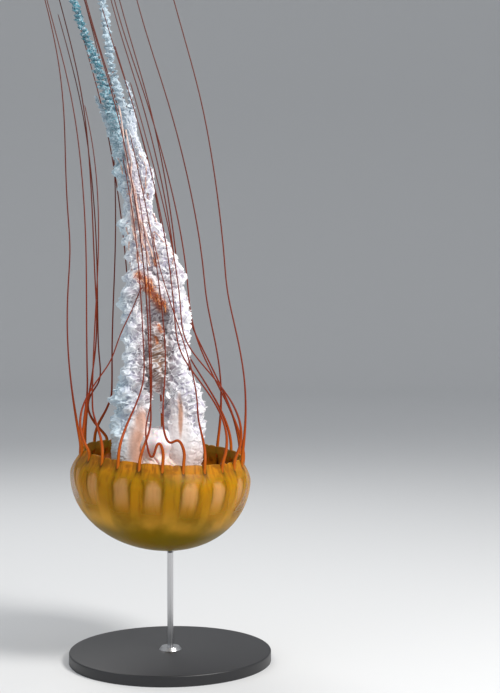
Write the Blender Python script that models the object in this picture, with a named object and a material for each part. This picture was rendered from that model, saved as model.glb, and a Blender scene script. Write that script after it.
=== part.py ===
"""Sea nettle jellyfish, life size, swimming mouth up with its arms streaming, on a display stand.

Metres, +Z up, the origin in the middle of the stand's underside. The mouth faces up, and the
viewer stands on the -Y side. Azimuths run from -Y towards +X. The flesh is one bell with 32
lappets on its margin, one manubrium, four oral arms and 24 tentacles. Each arm and tentacle is
cut into a lower and an upper length.
"""

import math

import bmesh
import bpy
from mathutils import Matrix, Vector

GAP = 0.0003  # between pieces that meet

# Stand
BASE_RADIUS = 0.135
BASE_THICKNESS = 0.014
BASE_BEVEL = 0.002
ROD_RADIUS = 0.004
ROD_FOOT = (0.015, 0.004)  # radius and height of the rod's flange
ROD_CUP = (0.013, 0.006)  # radius and height of the dish under the bell
CUP_TOP = 0.150

# Bell, in its own frame: the apex at the origin and the mouth towards +Z
BELL_RADIUS = 0.120
BELL_DEPTH = 0.097  # apex to the widest ring
BELL_FULLNESS = 0.94  # under 1 fills the dome out near the apex
MARGIN_RISE = 0.022  # widest ring to the clefts
MARGIN_RADIUS = 0.110
APEX_WALL = 0.020
MARGIN_WALL = 0.0032
APEX_SKEW = 0.006  # the dome's pole is pushed this far towards +X by the swimming stroke
LAPPET_LENGTH = 0.011
LEAN_RIGHT = math.radians(4.0)
LEAN_FORWARD = math.radians(3.0)
BELL_APEX_X = -0.0188

# Margin: eight sense organs, three tentacles between each two, 32 clefts in all
OCTANTS = 8
FIRST_SENSE_ORGAN = math.radians(11.0)
CLEFTS = tuple(math.radians(a) for a in (0.0, 7.0, 22.5, 38.0))  # from each sense organ
CLEFT_HALF_WIDTH = math.radians(1.6)

# Manubrium, in the bell's frame
MANUBRIUM_PROFILE = ((0.046, 0.0), (0.041, 0.030), (0.046, 0.070), (0.060, 0.098), (0.058, 0.105))
MANUBRIUM_LOBES = 0.10  # how far the four corners stand out, as a share of the radius
WEB_CENTRE_X = -0.0065  # the web joins the feet of the left and right arms
WEB_HALF = (0.0060, 0.030)  # half its thickness and half its depth
WEB_RISES = ((1.0, 0.0), (0.95, 0.024), (0.55, 0.035))  # share of that size and height

# The stream is the line that everything trails along: (height over the margin, x, y)
STREAM = (
    (0.000, -0.017, -0.006),
    (0.150, -0.020, 0.000),
    (0.300, -0.033, 0.005),
    (0.450, -0.062, 0.013),
    (0.605, -0.107, 0.024),
    (0.850, -0.172, 0.050),
)

# Oral arms: half the depth of one arm by height over the margin
ARM_DEPTH = (
    (0.000, 0.0210), (0.050, 0.0165), (0.100, 0.0145), (0.150, 0.0130), (0.235, 0.0120),
    (0.335, 0.0080), (0.472, 0.0065), (0.605, 0.0045), (0.820, 0.0028),
)
ARM_SIDES = 8
ARM_RING_STEP = 0.019
ARM_SCALLOP = 0.10  # how far every second ring is drawn in, as a share of the breadth
ARM_CUT = 0.300  # height of the cut between the lower and the upper length
ARM_TIP_TAPER = 0.04  # length over which a tip rounds off
ARM_FOOT = 0.006  # height of the middle of an arm's foot
ARM_SPACING = 0.0008  # from the middle of the bundle to each layer
# Each arm's layer (front -1, back 1), then (height, x from the stream, half the breadth)
ARMS = {
    "arm_front_left": (-1, (
        (0.000, -0.034, 0.024), (0.068, -0.033, 0.025), (0.095, -0.033, 0.022), (0.120, -0.027, 0.015),
        (0.190, -0.026, 0.014), (0.216, -0.027, 0.015), (0.240, -0.017, 0.013), (0.269, -0.012, 0.012),
        (0.304, -0.018, 0.015), (0.331, -0.009, 0.009), (0.360, -0.013, 0.011), (0.429, -0.012, 0.010),
        (0.521, -0.014, 0.007), (0.602, -0.020, 0.006), (0.800, -0.018, 0.003))),
    "arm_front_right": (-1, (
        (0.000, 0.035, 0.025), (0.042, 0.037, 0.028), (0.075, 0.037, 0.027), (0.105, 0.034, 0.021),
        (0.135, 0.021, 0.013), (0.166, 0.032, 0.016), (0.196, 0.036, 0.014), (0.223, 0.026, 0.014),
        (0.244, 0.031, 0.018), (0.273, 0.020, 0.014), (0.299, 0.012, 0.010), (0.331, 0.006, 0.005),
        (0.357, 0.012, 0.010), (0.384, 0.014, 0.010), (0.407, 0.007, 0.007), (0.471, 0.004, 0.006),
        (0.517, 0.004, 0.006), (0.602, 0.017, 0.006), (0.745, 0.026, 0.003))),
    "arm_back_left": (1, (
        (0.000, -0.034, 0.021), (0.080, -0.028, 0.020), (0.118, -0.009, 0.018), (0.153, 0.002, 0.015),
        (0.187, 0.007, 0.013), (0.221, 0.005, 0.013), (0.257, -0.005, 0.013), (0.301, -0.013, 0.012),
        (0.385, -0.012, 0.010), (0.431, -0.017, 0.008), (0.486, -0.030, 0.004))),
    "arm_back_right": (1, (
        (0.000, 0.033, 0.024), (0.039, 0.035, 0.026), (0.080, 0.033, 0.024), (0.118, 0.031, 0.012),
        (0.187, 0.034, 0.009), (0.221, 0.032, 0.011), (0.257, 0.023, 0.012), (0.301, 0.014, 0.010),
        (0.344, 0.007, 0.006), (0.385, 0.012, 0.010), (0.431, 0.005, 0.008), (0.490, 0.018, 0.005),
        (0.507, 0.017, 0.004))),
}

# Tentacles, in order of their roots from the first sense organ: the height where one has drifted
# into its place in the trail, its sideways bow on the way there, that place (x and y from the
# stream), its x at the top of the trail, and the height of its tip
TRAILS = (
    (0.130, -0.002, 0.016, -0.036, 0.006, 0.430), (0.060, 0.002, 0.057, -0.046, 0.012, 0.300),
    (0.150, 0.020, 0.031, -0.0345, 0.016, 0.600), (0.160, 0.027, 0.040, -0.0325, 0.024, 0.500),
    (0.220, 0.010, 0.101, -0.004, 0.114, 0.820), (0.210, -0.005, 0.049, 0.012, 0.034, 0.730),
    (0.260, -0.004, 0.033, 0.031, 0.029, 0.670), (0.200, 0.000, 0.022, 0.045, 0.016, 0.560),
    (0.210, 0.009, 0.071, 0.040, 0.064, 0.790), (0.180, 0.000, 0.034, 0.056, 0.040, 0.760),
    (0.200, 0.000, 0.010, 0.050, 0.006, 0.540), (0.190, 0.000, -0.003, 0.062, -0.006, 0.800),
    (0.200, 0.000, -0.019, 0.048, -0.014, 0.520), (0.190, 0.000, -0.036, 0.054, -0.024, 0.720),
    (0.100, -0.020, -0.080, 0.030, -0.048, 0.600), (0.090, 0.000, -0.062, 0.027, -0.007, 0.690),
    (0.200, 0.000, -0.076, 0.010, -0.040, 0.790), (0.290, -0.015, -0.101, 0.000, -0.059, 0.740),
    (0.100, 0.000, -0.089, -0.024, -0.055, 0.640), (0.140, -0.024, -0.051, -0.029, -0.012, 0.235),
    (0.070, 0.002, -0.082, -0.030, -0.045, 0.470), (0.120, 0.000, -0.0125, -0.037, -0.010, 0.400),
    (0.060, 0.002, -0.005, -0.039, -0.004, 0.630), (0.080, -0.004, -0.003, -0.044, 0.002, 0.350),
)
TRAIL_TOP = 0.605
TRAIL_TOP_DEPTH = 0.6  # y at the top of the trail as a share of the y lower down
# Tentacles that bend back on themselves over the margin: rise before the bend, sideways
# reach, height of the bend, and rise over the whole of it
CURLS = {0: (0.028, -0.026, 0.009, 0.027), 23: (0.0245, -0.020, 0.0135, 0.010)}
HOOKS = {19: (0.024, 0.030)}  # a tip that hangs over the arms: sideways reach and drop
TENTACLE_ROOT_RADIUS = 0.0023
TENTACLE_BODY_RADIUS = 0.0013
TENTACLE_TIP_RADIUS = 0.0007
ROOT_TAPER = 0.12  # length over which a root narrows
ROOT_STUB = 0.013  # a root runs straight for this length, past the lappets beside it
TENTACLE_CUT = 0.5  # share of the length at which one is cut
LOWER_SIDES = 5
UPPER_SIDES = 4
BEND_PER_POINT = math.radians(24)
LENGTH_PER_POINT = 0.055

COLOURS = {  # base colour, roughness, metallic, alpha
    "bell": ((0.62, 0.36, 0.05), 0.25, 0.0, 0.75),
    "manubrium": ((0.88, 0.70, 0.55), 0.35, 0.0, 1.0),
    "oral_arm": ((0.92, 0.90, 0.92), 0.4, 0.0, 1.0),
    "tentacle": ((0.42, 0.09, 0.03), 0.35, 0.0, 1.0),
    "stand_base": ((0.02, 0.02, 0.022), 0.45, 0.0, 1.0),
    "stand_rod": ((0.55, 0.55, 0.56), 0.3, 1.0, 1.0),
}


def material(name):
    """The finish of that name, made once."""
    found = bpy.data.materials.get(name)
    if found:
        return found
    colour, roughness, metallic, alpha = COLOURS[name]
    made = bpy.data.materials.new(name)
    made.use_nodes = True
    shader = made.node_tree.nodes["Principled BSDF"]
    shader.inputs["Base Color"].default_value = (*colour, 1.0)
    shader.inputs["Roughness"].default_value = roughness
    shader.inputs["Metallic"].default_value = metallic
    shader.inputs["Alpha"].default_value = alpha
    return made


def add_object(name, mesh_builder, finish, parent=None):
    """A named object whose mesh is what mesh_builder left in its bmesh, faces pointing out."""
    bmesh.ops.recalc_face_normals(mesh_builder, faces=mesh_builder.faces)
    mesh = bpy.data.meshes.new(name)
    mesh_builder.to_mesh(mesh)
    mesh_builder.free()
    mesh.shade_smooth()
    mesh.set_sharp_from_angle(angle=math.radians(50))
    mesh.materials.append(material(finish))
    made = bpy.data.objects.new(name, mesh)
    bpy.context.collection.objects.link(made)
    made.parent = parent
    return made


def smoothstep(x):
    x = min(1.0, max(0.0, x))
    return x * x * (3 - 2 * x)


def along(stations, height):
    """The values of a table of (height, value, ...) rows at a height, as a smooth curve."""
    height = min(max(height, stations[0][0]), stations[-1][0])
    upper = next(i for i, row in enumerate(stations) if i and height <= row[0])
    rows = [stations[max(0, min(len(stations) - 1, upper + k))] for k in (-2, -1, 0, 1)]
    span = rows[2][0] - rows[1][0]
    t = (height - rows[1][0]) / span
    values = []
    for before, start, end, after in list(zip(*rows))[1:]:
        slope_in = (end - before) / (rows[2][0] - rows[0][0]) * span
        slope_out = (after - start) / (rows[3][0] - rows[1][0]) * span
        values.append(
            (2 * t**3 - 3 * t**2 + 1) * start
            + (t**3 - 2 * t**2 + t) * slope_in
            + (3 * t**2 - 2 * t**3) * end
            + (t**3 - t**2) * slope_out
        )
    return values


def loft(name, rings, finish, parent=None):
    """A closed solid through rings of equally many points, capped flat at both ends."""
    builder = bmesh.new()
    loops = [[builder.verts.new(point) for point in ring] for ring in rings]
    for lower, upper in zip(loops, loops[1:]):
        for i in range(len(lower)):
            j = (i + 1) % len(lower)
            builder.faces.new((lower[i], lower[j], upper[j], upper[i]))
    builder.faces.new(loops[0])
    builder.faces.new(loops[-1])
    return add_object(name, builder, finish, parent)


def turned(name, profile, steps, finish):
    """A solid turned about Z from (radius, height) points that run from the axis to the axis."""
    builder = bmesh.new()
    points = [builder.verts.new((radius, 0, height)) for radius, height in profile]
    edges = [builder.edges.new(pair) for pair in zip(points, points[1:])]
    bmesh.ops.spin(
        builder, geom=points + edges, cent=(0, 0, 0), axis=(0, 0, 1), dvec=(0, 0, 0),
        angle=math.tau, steps=steps, use_merge=True,
    )
    bmesh.ops.remove_doubles(builder, verts=builder.verts, dist=1e-6)
    return add_object(name, builder, finish)


def from_azimuth(azimuth, radius, height):
    return Vector((radius * math.sin(azimuth), -radius * math.cos(azimuth), height))


def skewed(point):
    """A point of the bell, pushed aside near the apex by the swimming stroke."""
    share = max(0.0, 1 - point.z / BELL_DEPTH)
    return point + Vector((APEX_SKEW * share**2, 0, 0))


def dome(azimuth, turn, radius, depth, floor):
    """A point on one face of the dome: turn runs from 0 at the pole to 1 at the widest ring."""
    angle = turn * math.pi / 2
    wide = radius * math.sin(angle) ** BELL_FULLNESS
    return skewed(from_azimuth(azimuth, wide, floor + depth * (1 - math.cos(angle))))


def margin(azimuth, rise, inset):
    """A point of the margin over the widest ring, which curls in as it rises."""
    wide = BELL_RADIUS - (BELL_RADIUS - MARGIN_RADIUS) * (rise / MARGIN_RISE) ** 1.6
    return from_azimuth(azimuth, wide - inset, BELL_DEPTH + rise)


def cleft_azimuths():
    """The 32 clefts in order, the first of each four over a sense organ."""
    return [
        FIRST_SENSE_ORGAN + octant * math.tau / OCTANTS + cleft
        for octant in range(OCTANTS)
        for cleft in CLEFTS
    ]


def build_bell(parent):
    """The bell: a thick dome, a thin curled margin, and a rounded lappet between each two clefts."""
    columns = [a + side for a in cleft_azimuths() for side in (-CLEFT_HALF_WIDTH, CLEFT_HALF_WIDTH)]
    builder = bmesh.new()
    rings = [[dome(a, turn, BELL_RADIUS, BELL_DEPTH, 0) for a in columns]
             for turn in (0.11, 0.26, 0.42, 0.58, 0.74, 0.88, 1.0)]
    rings += [[margin(a, rise, 0) for a in columns] for rise in (0.6 * MARGIN_RISE, MARGIN_RISE)]
    rim = len(rings)
    rings += [[margin(a, rise, MARGIN_WALL) for a in columns] for rise in (MARGIN_RISE, 0.3 * MARGIN_RISE)]
    inner_radius, inner_depth = BELL_RADIUS - MARGIN_WALL, BELL_DEPTH - APEX_WALL
    rings += [[dome(a, turn, inner_radius, inner_depth, APEX_WALL) for a in columns]
              for turn in (0.86, 0.66, 0.46)]
    floor_ring = [from_azimuth(a, MANUBRIUM_PROFILE[0][0] + 0.004, APEX_WALL) for a in columns]
    rings.append([point + Vector((0, 0, 0)) for point in floor_ring])
    loops = [[builder.verts.new(point) for point in ring] for ring in rings]
    count = len(columns)
    rim_faces = []
    for level, (lower, upper) in enumerate(zip(loops, loops[1:]), start=1):
        for i in range(count):
            j = (i + 1) % count
            face = builder.faces.new((lower[i], lower[j], upper[j], upper[i]))
            if level == rim and i % 2 == 1:
                rim_faces.append(face)
    builder.faces.new(loops[0])
    builder.faces.new(loops[-1])
    bmesh.ops.recalc_face_normals(builder, faces=builder.faces)
    for face in rim_faces:
        raise_lappet(builder, face)
    return add_object("bell", builder, "bell", parent)


def raise_lappet(builder, face):
    """Draws one stretch of the rim up into a rounded tongue."""
    for rise, narrowing, inward in ((0.45, 1.04, 0.05), (0.36, 0.86, 0.10), (0.19, 0.55, 0.10)):
        top = bmesh.ops.extrude_discrete_faces(builder, faces=[face])["faces"][0]
        centre = top.calc_center_median()
        outward = Vector((centre.x, centre.y, 0)).normalized()
        sideways = outward.cross(Vector((0, 0, 1)))
        for vert in top.verts:
            across = (vert.co - centre).dot(sideways)
            vert.co += sideways * across * (narrowing - 1)
            vert.co += Vector((0, 0, rise * LAPPET_LENGTH)) - outward * inward * LAPPET_LENGTH
        face = top


def build_manubrium(parent):
    """The mouth's pillar, four-cornered, on the floor of the bell, with a web between the arms."""
    rings = []
    for radius, rise in MANUBRIUM_PROFILE:
        corners = MANUBRIUM_LOBES * min(1.0, rise / 0.03)
        rings.append([
            from_azimuth(a, radius * (1 - corners * math.cos(4 * a)), APEX_WALL + GAP + rise)
            for a in (math.tau * i / 20 for i in range(20))
        ])
    foot = APEX_WALL + GAP + MANUBRIUM_PROFILE[-1][1]
    for share, rise in WEB_RISES:
        rings.append([
            Vector((
                WEB_CENTRE_X + share * WEB_HALF[0] * math.sin(a),
                -share * WEB_HALF[1] * math.cos(a),
                foot + rise,
            ))
            for a in (math.tau * i / 20 for i in range(20))
        ])
    return loft("manubrium", rings, "manubrium", parent)


def stream(margin_centre, height):
    """The stream's point at a height over the margin, in world coordinates."""
    x, y = along(STREAM, height)
    return Vector((x, y, margin_centre.z + height))


def build_arm(name, margin_centre, footing):
    """One oral arm as two lengths; footing gives the height of its foot under a point."""
    layer, places = ARMS[name]
    start, tip = ARM_FOOT, places[-1][0]
    count = round((tip - start) / ARM_RING_STEP)
    cut = round((ARM_CUT - start) / (tip - start) * count)
    rings = []
    for i in range(count + 1):
        height = start + (tip - start) * i / count
        place, half_breadth = along(places, height)
        half_depth = along(ARM_DEPTH, height)[0]
        ending = 1 - 0.5 * smoothstep((height - tip + ARM_TIP_TAPER) / ARM_TIP_TAPER)
        scallop = 1 - ARM_SCALLOP * (i % 2)
        centre = stream(margin_centre, height)
        centre += Vector((place, layer * (half_depth + ARM_SPACING), 0))
        ring = []
        for side in range(ARM_SIDES):
            angle = math.tau * (side + 0.5) / ARM_SIDES
            across = math.cos(angle) * half_breadth * ending * scallop
            point = centre + Vector((across, math.sin(angle) * half_depth * ending, 0))
            if i == 0:
                point.z = footing(point)
            ring.append(point)
        rings.append(ring)
    lift = Vector((0, 0, GAP / 2))
    lower = rings[:cut] + [[point - lift for point in rings[cut]]]
    upper = [[point + lift for point in rings[cut]]] + rings[cut + 1:]
    loft(f"{name}_lower", lower, "oral_arm")
    loft(f"{name}_upper", upper, "oral_arm")


def curl(start, shape):
    """Points of a bend back on itself, onwards from its start."""
    _, across, swing, rise = shape
    return [
        start + Vector((across * t, -0.002 * math.sin(math.pi * t), rise * t + swing * math.sin(math.tau * t)))
        for t in (k / 24 for k in range(25))
    ]


def hook(start, shape):
    """Points of a tip that hangs over to one side, onwards from its start."""
    across, drop = shape
    return [
        start + Vector((across * (1 - math.cos(t * math.pi)) / 2, -0.001 * t, 0.35 * drop * math.sin(math.pi * t) - drop * t**2))
        for t in (k / 16 for k in range(1, 17))
    ]


def tentacle_route(index, root, up, margin_centre):
    """Closely spaced points from the root in its cleft, over any curl, and up the trail."""
    gathered, bow, trail_x, trail_y, top_x, tip = TRAILS[index]
    points = [root]
    if index in CURLS:
        start = root + up * CURLS[index][0]
        points += [root.lerp(start, k / 6) for k in range(1, 6)]
        points += curl(start, CURLS[index])
    else:
        points.append(root + up * ROOT_STUB)
    last = points[-1]
    base = last.z - margin_centre.z
    offset = last - stream(margin_centre, base)
    steps = 120
    for k in range(1, steps + 1):
        height = base + (tip - base) * k / steps
        centre = stream(margin_centre, height)
        on_the_way = min(1.0, (height - base) / (gathered - base))
        drift = smoothstep(on_the_way)
        gone = smoothstep((height - gathered) / (min(tip, TRAIL_TOP) - gathered))
        rise = smoothstep((height - gathered) / (TRAIL_TOP - gathered))
        place_x = trail_x + (top_x - trail_x) * gone
        place_y = trail_y * (1 - (1 - TRAIL_TOP_DEPTH) * rise)
        x = offset.x * (1 - drift) + place_x * drift + bow * math.sin(math.pi * on_the_way)
        y = offset.y * (1 - drift) + place_y * drift
        points.append(Vector((centre.x + x, centre.y + y, margin_centre.z + height)))
    if index in HOOKS:
        points += hook(points[-1], HOOKS[index])
    return points


def thinned(points):
    """Fewer points, closest together where the route bends, with each one's distance along it."""
    measure, distance = [0.0], [0.0]
    for i in range(1, len(points)):
        step = points[i] - points[i - 1]
        ahead = points[min(i + 1, len(points) - 1)] - points[i]
        bend = step.angle(ahead) if ahead.length > 1e-9 and step.length > 1e-9 else 0.0
        distance.append(distance[-1] + step.length)
        near_root = 1.0 if distance[-1] < 1.5 * ROOT_STUB else 0.0
        measure.append(
            measure[-1]
            + step.length / LENGTH_PER_POINT
            + step.length / ROOT_STUB * near_root
            + bend / BEND_PER_POINT
        )
    count = max(5, round(measure[-1]))
    kept = []
    for k in range(count + 1):
        wanted = measure[-1] * k / count
        i = next(i for i, value in enumerate(measure) if value >= wanted - 1e-9)
        if i not in kept:
            kept.append(i)
    return [(points[i], distance[i]) for i in kept]


def tube_rings(route, sides):
    """Rings of a round tube along a route of (point, radius), without twist."""
    normal = Vector((0, -1, 0))
    rings = []
    for i, (point, radius) in enumerate(route):
        before = route[max(i - 1, 0)][0]
        after = route[min(i + 1, len(route) - 1)][0]
        tangent = (after - before).normalized()
        normal = (normal - tangent * normal.dot(tangent)).normalized()
        side = tangent.cross(normal)
        rings.append([
            point + radius * (math.cos(a) * normal + math.sin(a) * side)
            for a in (math.tau * (k + 0.5) / sides for k in range(sides))
        ])
    return rings


def tentacle_radius(distance, length):
    root = TENTACLE_ROOT_RADIUS + (TENTACLE_BODY_RADIUS - TENTACLE_ROOT_RADIUS) * smoothstep(distance / ROOT_TAPER)
    return root + (TENTACLE_TIP_RADIUS - TENTACLE_BODY_RADIUS) * distance / length


def build_tentacle(index, root, up, margin_centre):
    """One tentacle as a lower and an upper length, cut square across."""
    points = thinned(tentacle_route(index, root, up, margin_centre))
    length = points[-1][1]
    route = [(point, tentacle_radius(distance, length)) for point, distance in points]
    cut = min(range(len(points)), key=lambda i: abs(points[i][1] - TENTACLE_CUT * length))
    cut = max(2, cut)
    middle, radius = route[cut]
    along_cut = (route[cut + 1][0] - route[cut - 1][0]).normalized()
    below, above = ((middle + along_cut * GAP / 2 * sign, radius) for sign in (-1, 1))
    lower = route[:cut] + [below, (above[0], radius)]
    upper = [(below[0], radius), above] + route[cut + 1:]
    loft(f"tentacle_{index + 1:02d}_lower", tube_rings(lower, LOWER_SIDES)[:-1], "tentacle")
    loft(f"tentacle_{index + 1:02d}_upper", tube_rings(upper, UPPER_SIDES)[1:], "tentacle")


def build_stand():
    """A round base and one short rod with a dish that the bell sits on."""
    turned("stand_base", (
        (0, 0), (BASE_RADIUS, 0), (BASE_RADIUS, BASE_THICKNESS - BASE_BEVEL),
        (BASE_RADIUS - BASE_BEVEL, BASE_THICKNESS), (0, BASE_THICKNESS),
    ), 48, "stand_base")
    floor = BASE_THICKNESS + GAP
    turned("stand_rod", (
        (0, floor), (ROD_FOOT[0], floor), (ROD_FOOT[0] - 0.003, floor + ROD_FOOT[1]),
        (ROD_RADIUS, floor + ROD_FOOT[1]), (ROD_RADIUS, CUP_TOP - ROD_CUP[1]),
        (ROD_CUP[0], CUP_TOP - 0.0015), (ROD_CUP[0], CUP_TOP), (0, CUP_TOP),
    ), 16, "stand_rod")


def main():
    for leftover in list(bpy.data.objects):
        bpy.data.objects.remove(leftover)
    build_stand()
    frame = bpy.data.objects.new("bell_frame", None)
    bpy.context.collection.objects.link(frame)
    frame.rotation_euler = (LEAN_FORWARD, LEAN_RIGHT, 0)
    bell = build_bell(frame)
    build_manubrium(frame)
    turn = frame.rotation_euler.to_matrix()
    lowest = min((turn @ vert.co).z for vert in bell.data.vertices)
    frame.location = (BELL_APEX_X, 0, CUP_TOP + GAP - lowest)
    placed = Matrix.LocRotScale(frame.location, frame.rotation_euler, None)
    up = turn @ Vector((0, 0, 1))
    margin_centre = placed @ Vector((0, 0, BELL_DEPTH + MARGIN_RISE))
    mouth = placed @ Vector((0, 0, APEX_WALL + 2 * GAP + MANUBRIUM_PROFILE[-1][1]))

    def footing(point):
        return mouth.z - (up.x * (point.x - mouth.x) + up.y * (point.y - mouth.y)) / up.z

    for name in ARMS:
        build_arm(name, margin_centre, footing)
    tentacle = 0
    for number, azimuth in enumerate(cleft_azimuths()):
        if number % len(CLEFTS) == 0:
            continue
        root = placed @ (margin(azimuth, MARGIN_RISE, MARGIN_WALL / 2) + Vector((0, 0, GAP)))
        build_tentacle(tentacle, root, up, margin_centre)
        tentacle += 1


main()
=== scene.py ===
"""The looks of a life-size sea nettle jellyfish, swimming mouth up on its display stand.

Every piece takes its place from the solid model's nodes: the bell and the manubrium from their
outlines, the arms and tentacles from the rings of their solids.
"""

import enum
import functools
import logging
import math
from collections.abc import Sequence
from dataclasses import dataclass, field

import bmesh
import bpy
import numpy as np
from mathutils import Euler, Matrix, Vector


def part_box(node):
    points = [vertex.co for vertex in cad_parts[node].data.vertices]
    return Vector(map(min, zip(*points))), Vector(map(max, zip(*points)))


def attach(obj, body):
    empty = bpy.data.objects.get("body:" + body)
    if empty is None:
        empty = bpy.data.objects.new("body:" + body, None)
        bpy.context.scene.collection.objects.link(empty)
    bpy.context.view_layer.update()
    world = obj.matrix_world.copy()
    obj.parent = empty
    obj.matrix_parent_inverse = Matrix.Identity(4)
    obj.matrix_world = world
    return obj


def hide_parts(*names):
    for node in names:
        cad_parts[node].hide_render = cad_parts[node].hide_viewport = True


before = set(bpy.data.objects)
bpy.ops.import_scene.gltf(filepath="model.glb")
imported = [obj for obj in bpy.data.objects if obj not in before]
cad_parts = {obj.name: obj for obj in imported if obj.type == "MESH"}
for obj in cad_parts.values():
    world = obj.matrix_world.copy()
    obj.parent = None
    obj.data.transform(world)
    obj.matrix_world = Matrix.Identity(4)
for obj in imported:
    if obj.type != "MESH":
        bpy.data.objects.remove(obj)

log = logging.getLogger("sea_nettle")

Colour = tuple[float, float, float]
BODY = "root"
JELLY_IOR = 1.36
TENTACLES = 24


# ---------------------------------------------------------------------------------------------
# Shader building


class Signal:
    """A shader socket on which Python's arithmetic adds Math nodes."""

    def __init__(self, shader: "Shader", socket: bpy.types.NodeSocket) -> None:
        """Wraps a node's output.

        Args:
            shader: The shader that the socket's node is in.
            socket: The output socket.
        """
        self.shader = shader
        self.socket = socket

    def _math(self, operation: str, *values: "Signal | float") -> "Signal":
        """The result of one Math node.

        Args:
            operation: What the node does.
            values: Its inputs, in their order.

        Returns:
            The result.
        """
        made = self.shader.node(
            "ShaderNodeMath", {"operation": operation}, dict(enumerate(values))
        )
        return Signal(self.shader, made.outputs[0])

    def __add__(self, other: "Signal | float") -> "Signal":
        """self + other."""
        return self._math("ADD", self, other)

    def __radd__(self, other: float) -> "Signal":
        """other + self."""
        return self._math("ADD", other, self)

    def __sub__(self, other: "Signal | float") -> "Signal":
        """self - other."""
        return self._math("SUBTRACT", self, other)

    def __rsub__(self, other: float) -> "Signal":
        """other - self."""
        return self._math("SUBTRACT", other, self)

    def __mul__(self, other: "Signal | float") -> "Signal":
        """self * other."""
        return self._math("MULTIPLY", self, other)

    def __rmul__(self, other: float) -> "Signal":
        """other * self."""
        return self._math("MULTIPLY", other, self)

    def __truediv__(self, other: "Signal | float") -> "Signal":
        """self / other."""
        return self._math("DIVIDE", self, other)

    def __pow__(self, other: "Signal | float") -> "Signal":
        """self ** other."""
        return self._math("POWER", self, other)

    def size(self) -> "Signal":
        """The value without its sign."""
        return self._math("ABSOLUTE", self)

    def fold(self, half: float) -> "Signal":
        """The value reflected back and forth between 0 and half."""
        return self._math("PINGPONG", self, half)

    def angle_from(self, other: "Signal") -> "Signal":
        """The arctangent of self over other."""
        return self._math("ARCTAN2", self, other)

    def at_least(self, other: "Signal | float") -> "Signal":
        """The larger of the two."""
        return self._math("MAXIMUM", self, other)

    def step(self, low: "Signal | float", high: "Signal | float") -> "Signal":
        """A smooth step from 0 at low to 1 at high.

        Args:
            low: Where the step begins.
            high: Where it ends, which may be under low for a falling step.

        Returns:
            A value from 0 to 1.
        """
        made = self.shader.node(
            "ShaderNodeMapRange",
            {"interpolation_type": "SMOOTHSTEP"},
            {"Value": self, "From Min": low, "From Max": high},
        )
        return Signal(self.shader, made.outputs["Result"])

    def ridge(self, centre: "Signal | float", half_width: float) -> "Signal":
        """1 where the value is at centre, falling smoothly to 0 at half_width from it."""
        return (self - centre).size().step(half_width, 0.0)

    def ridges(self, centres: "Sequence[Signal | float]", half_width: float) -> "Signal":
        """1 where the value is at any of the centres, as ridge has it for one."""
        return functools.reduce(Signal.at_least, [self.ridge(c, half_width) for c in centres])


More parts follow.
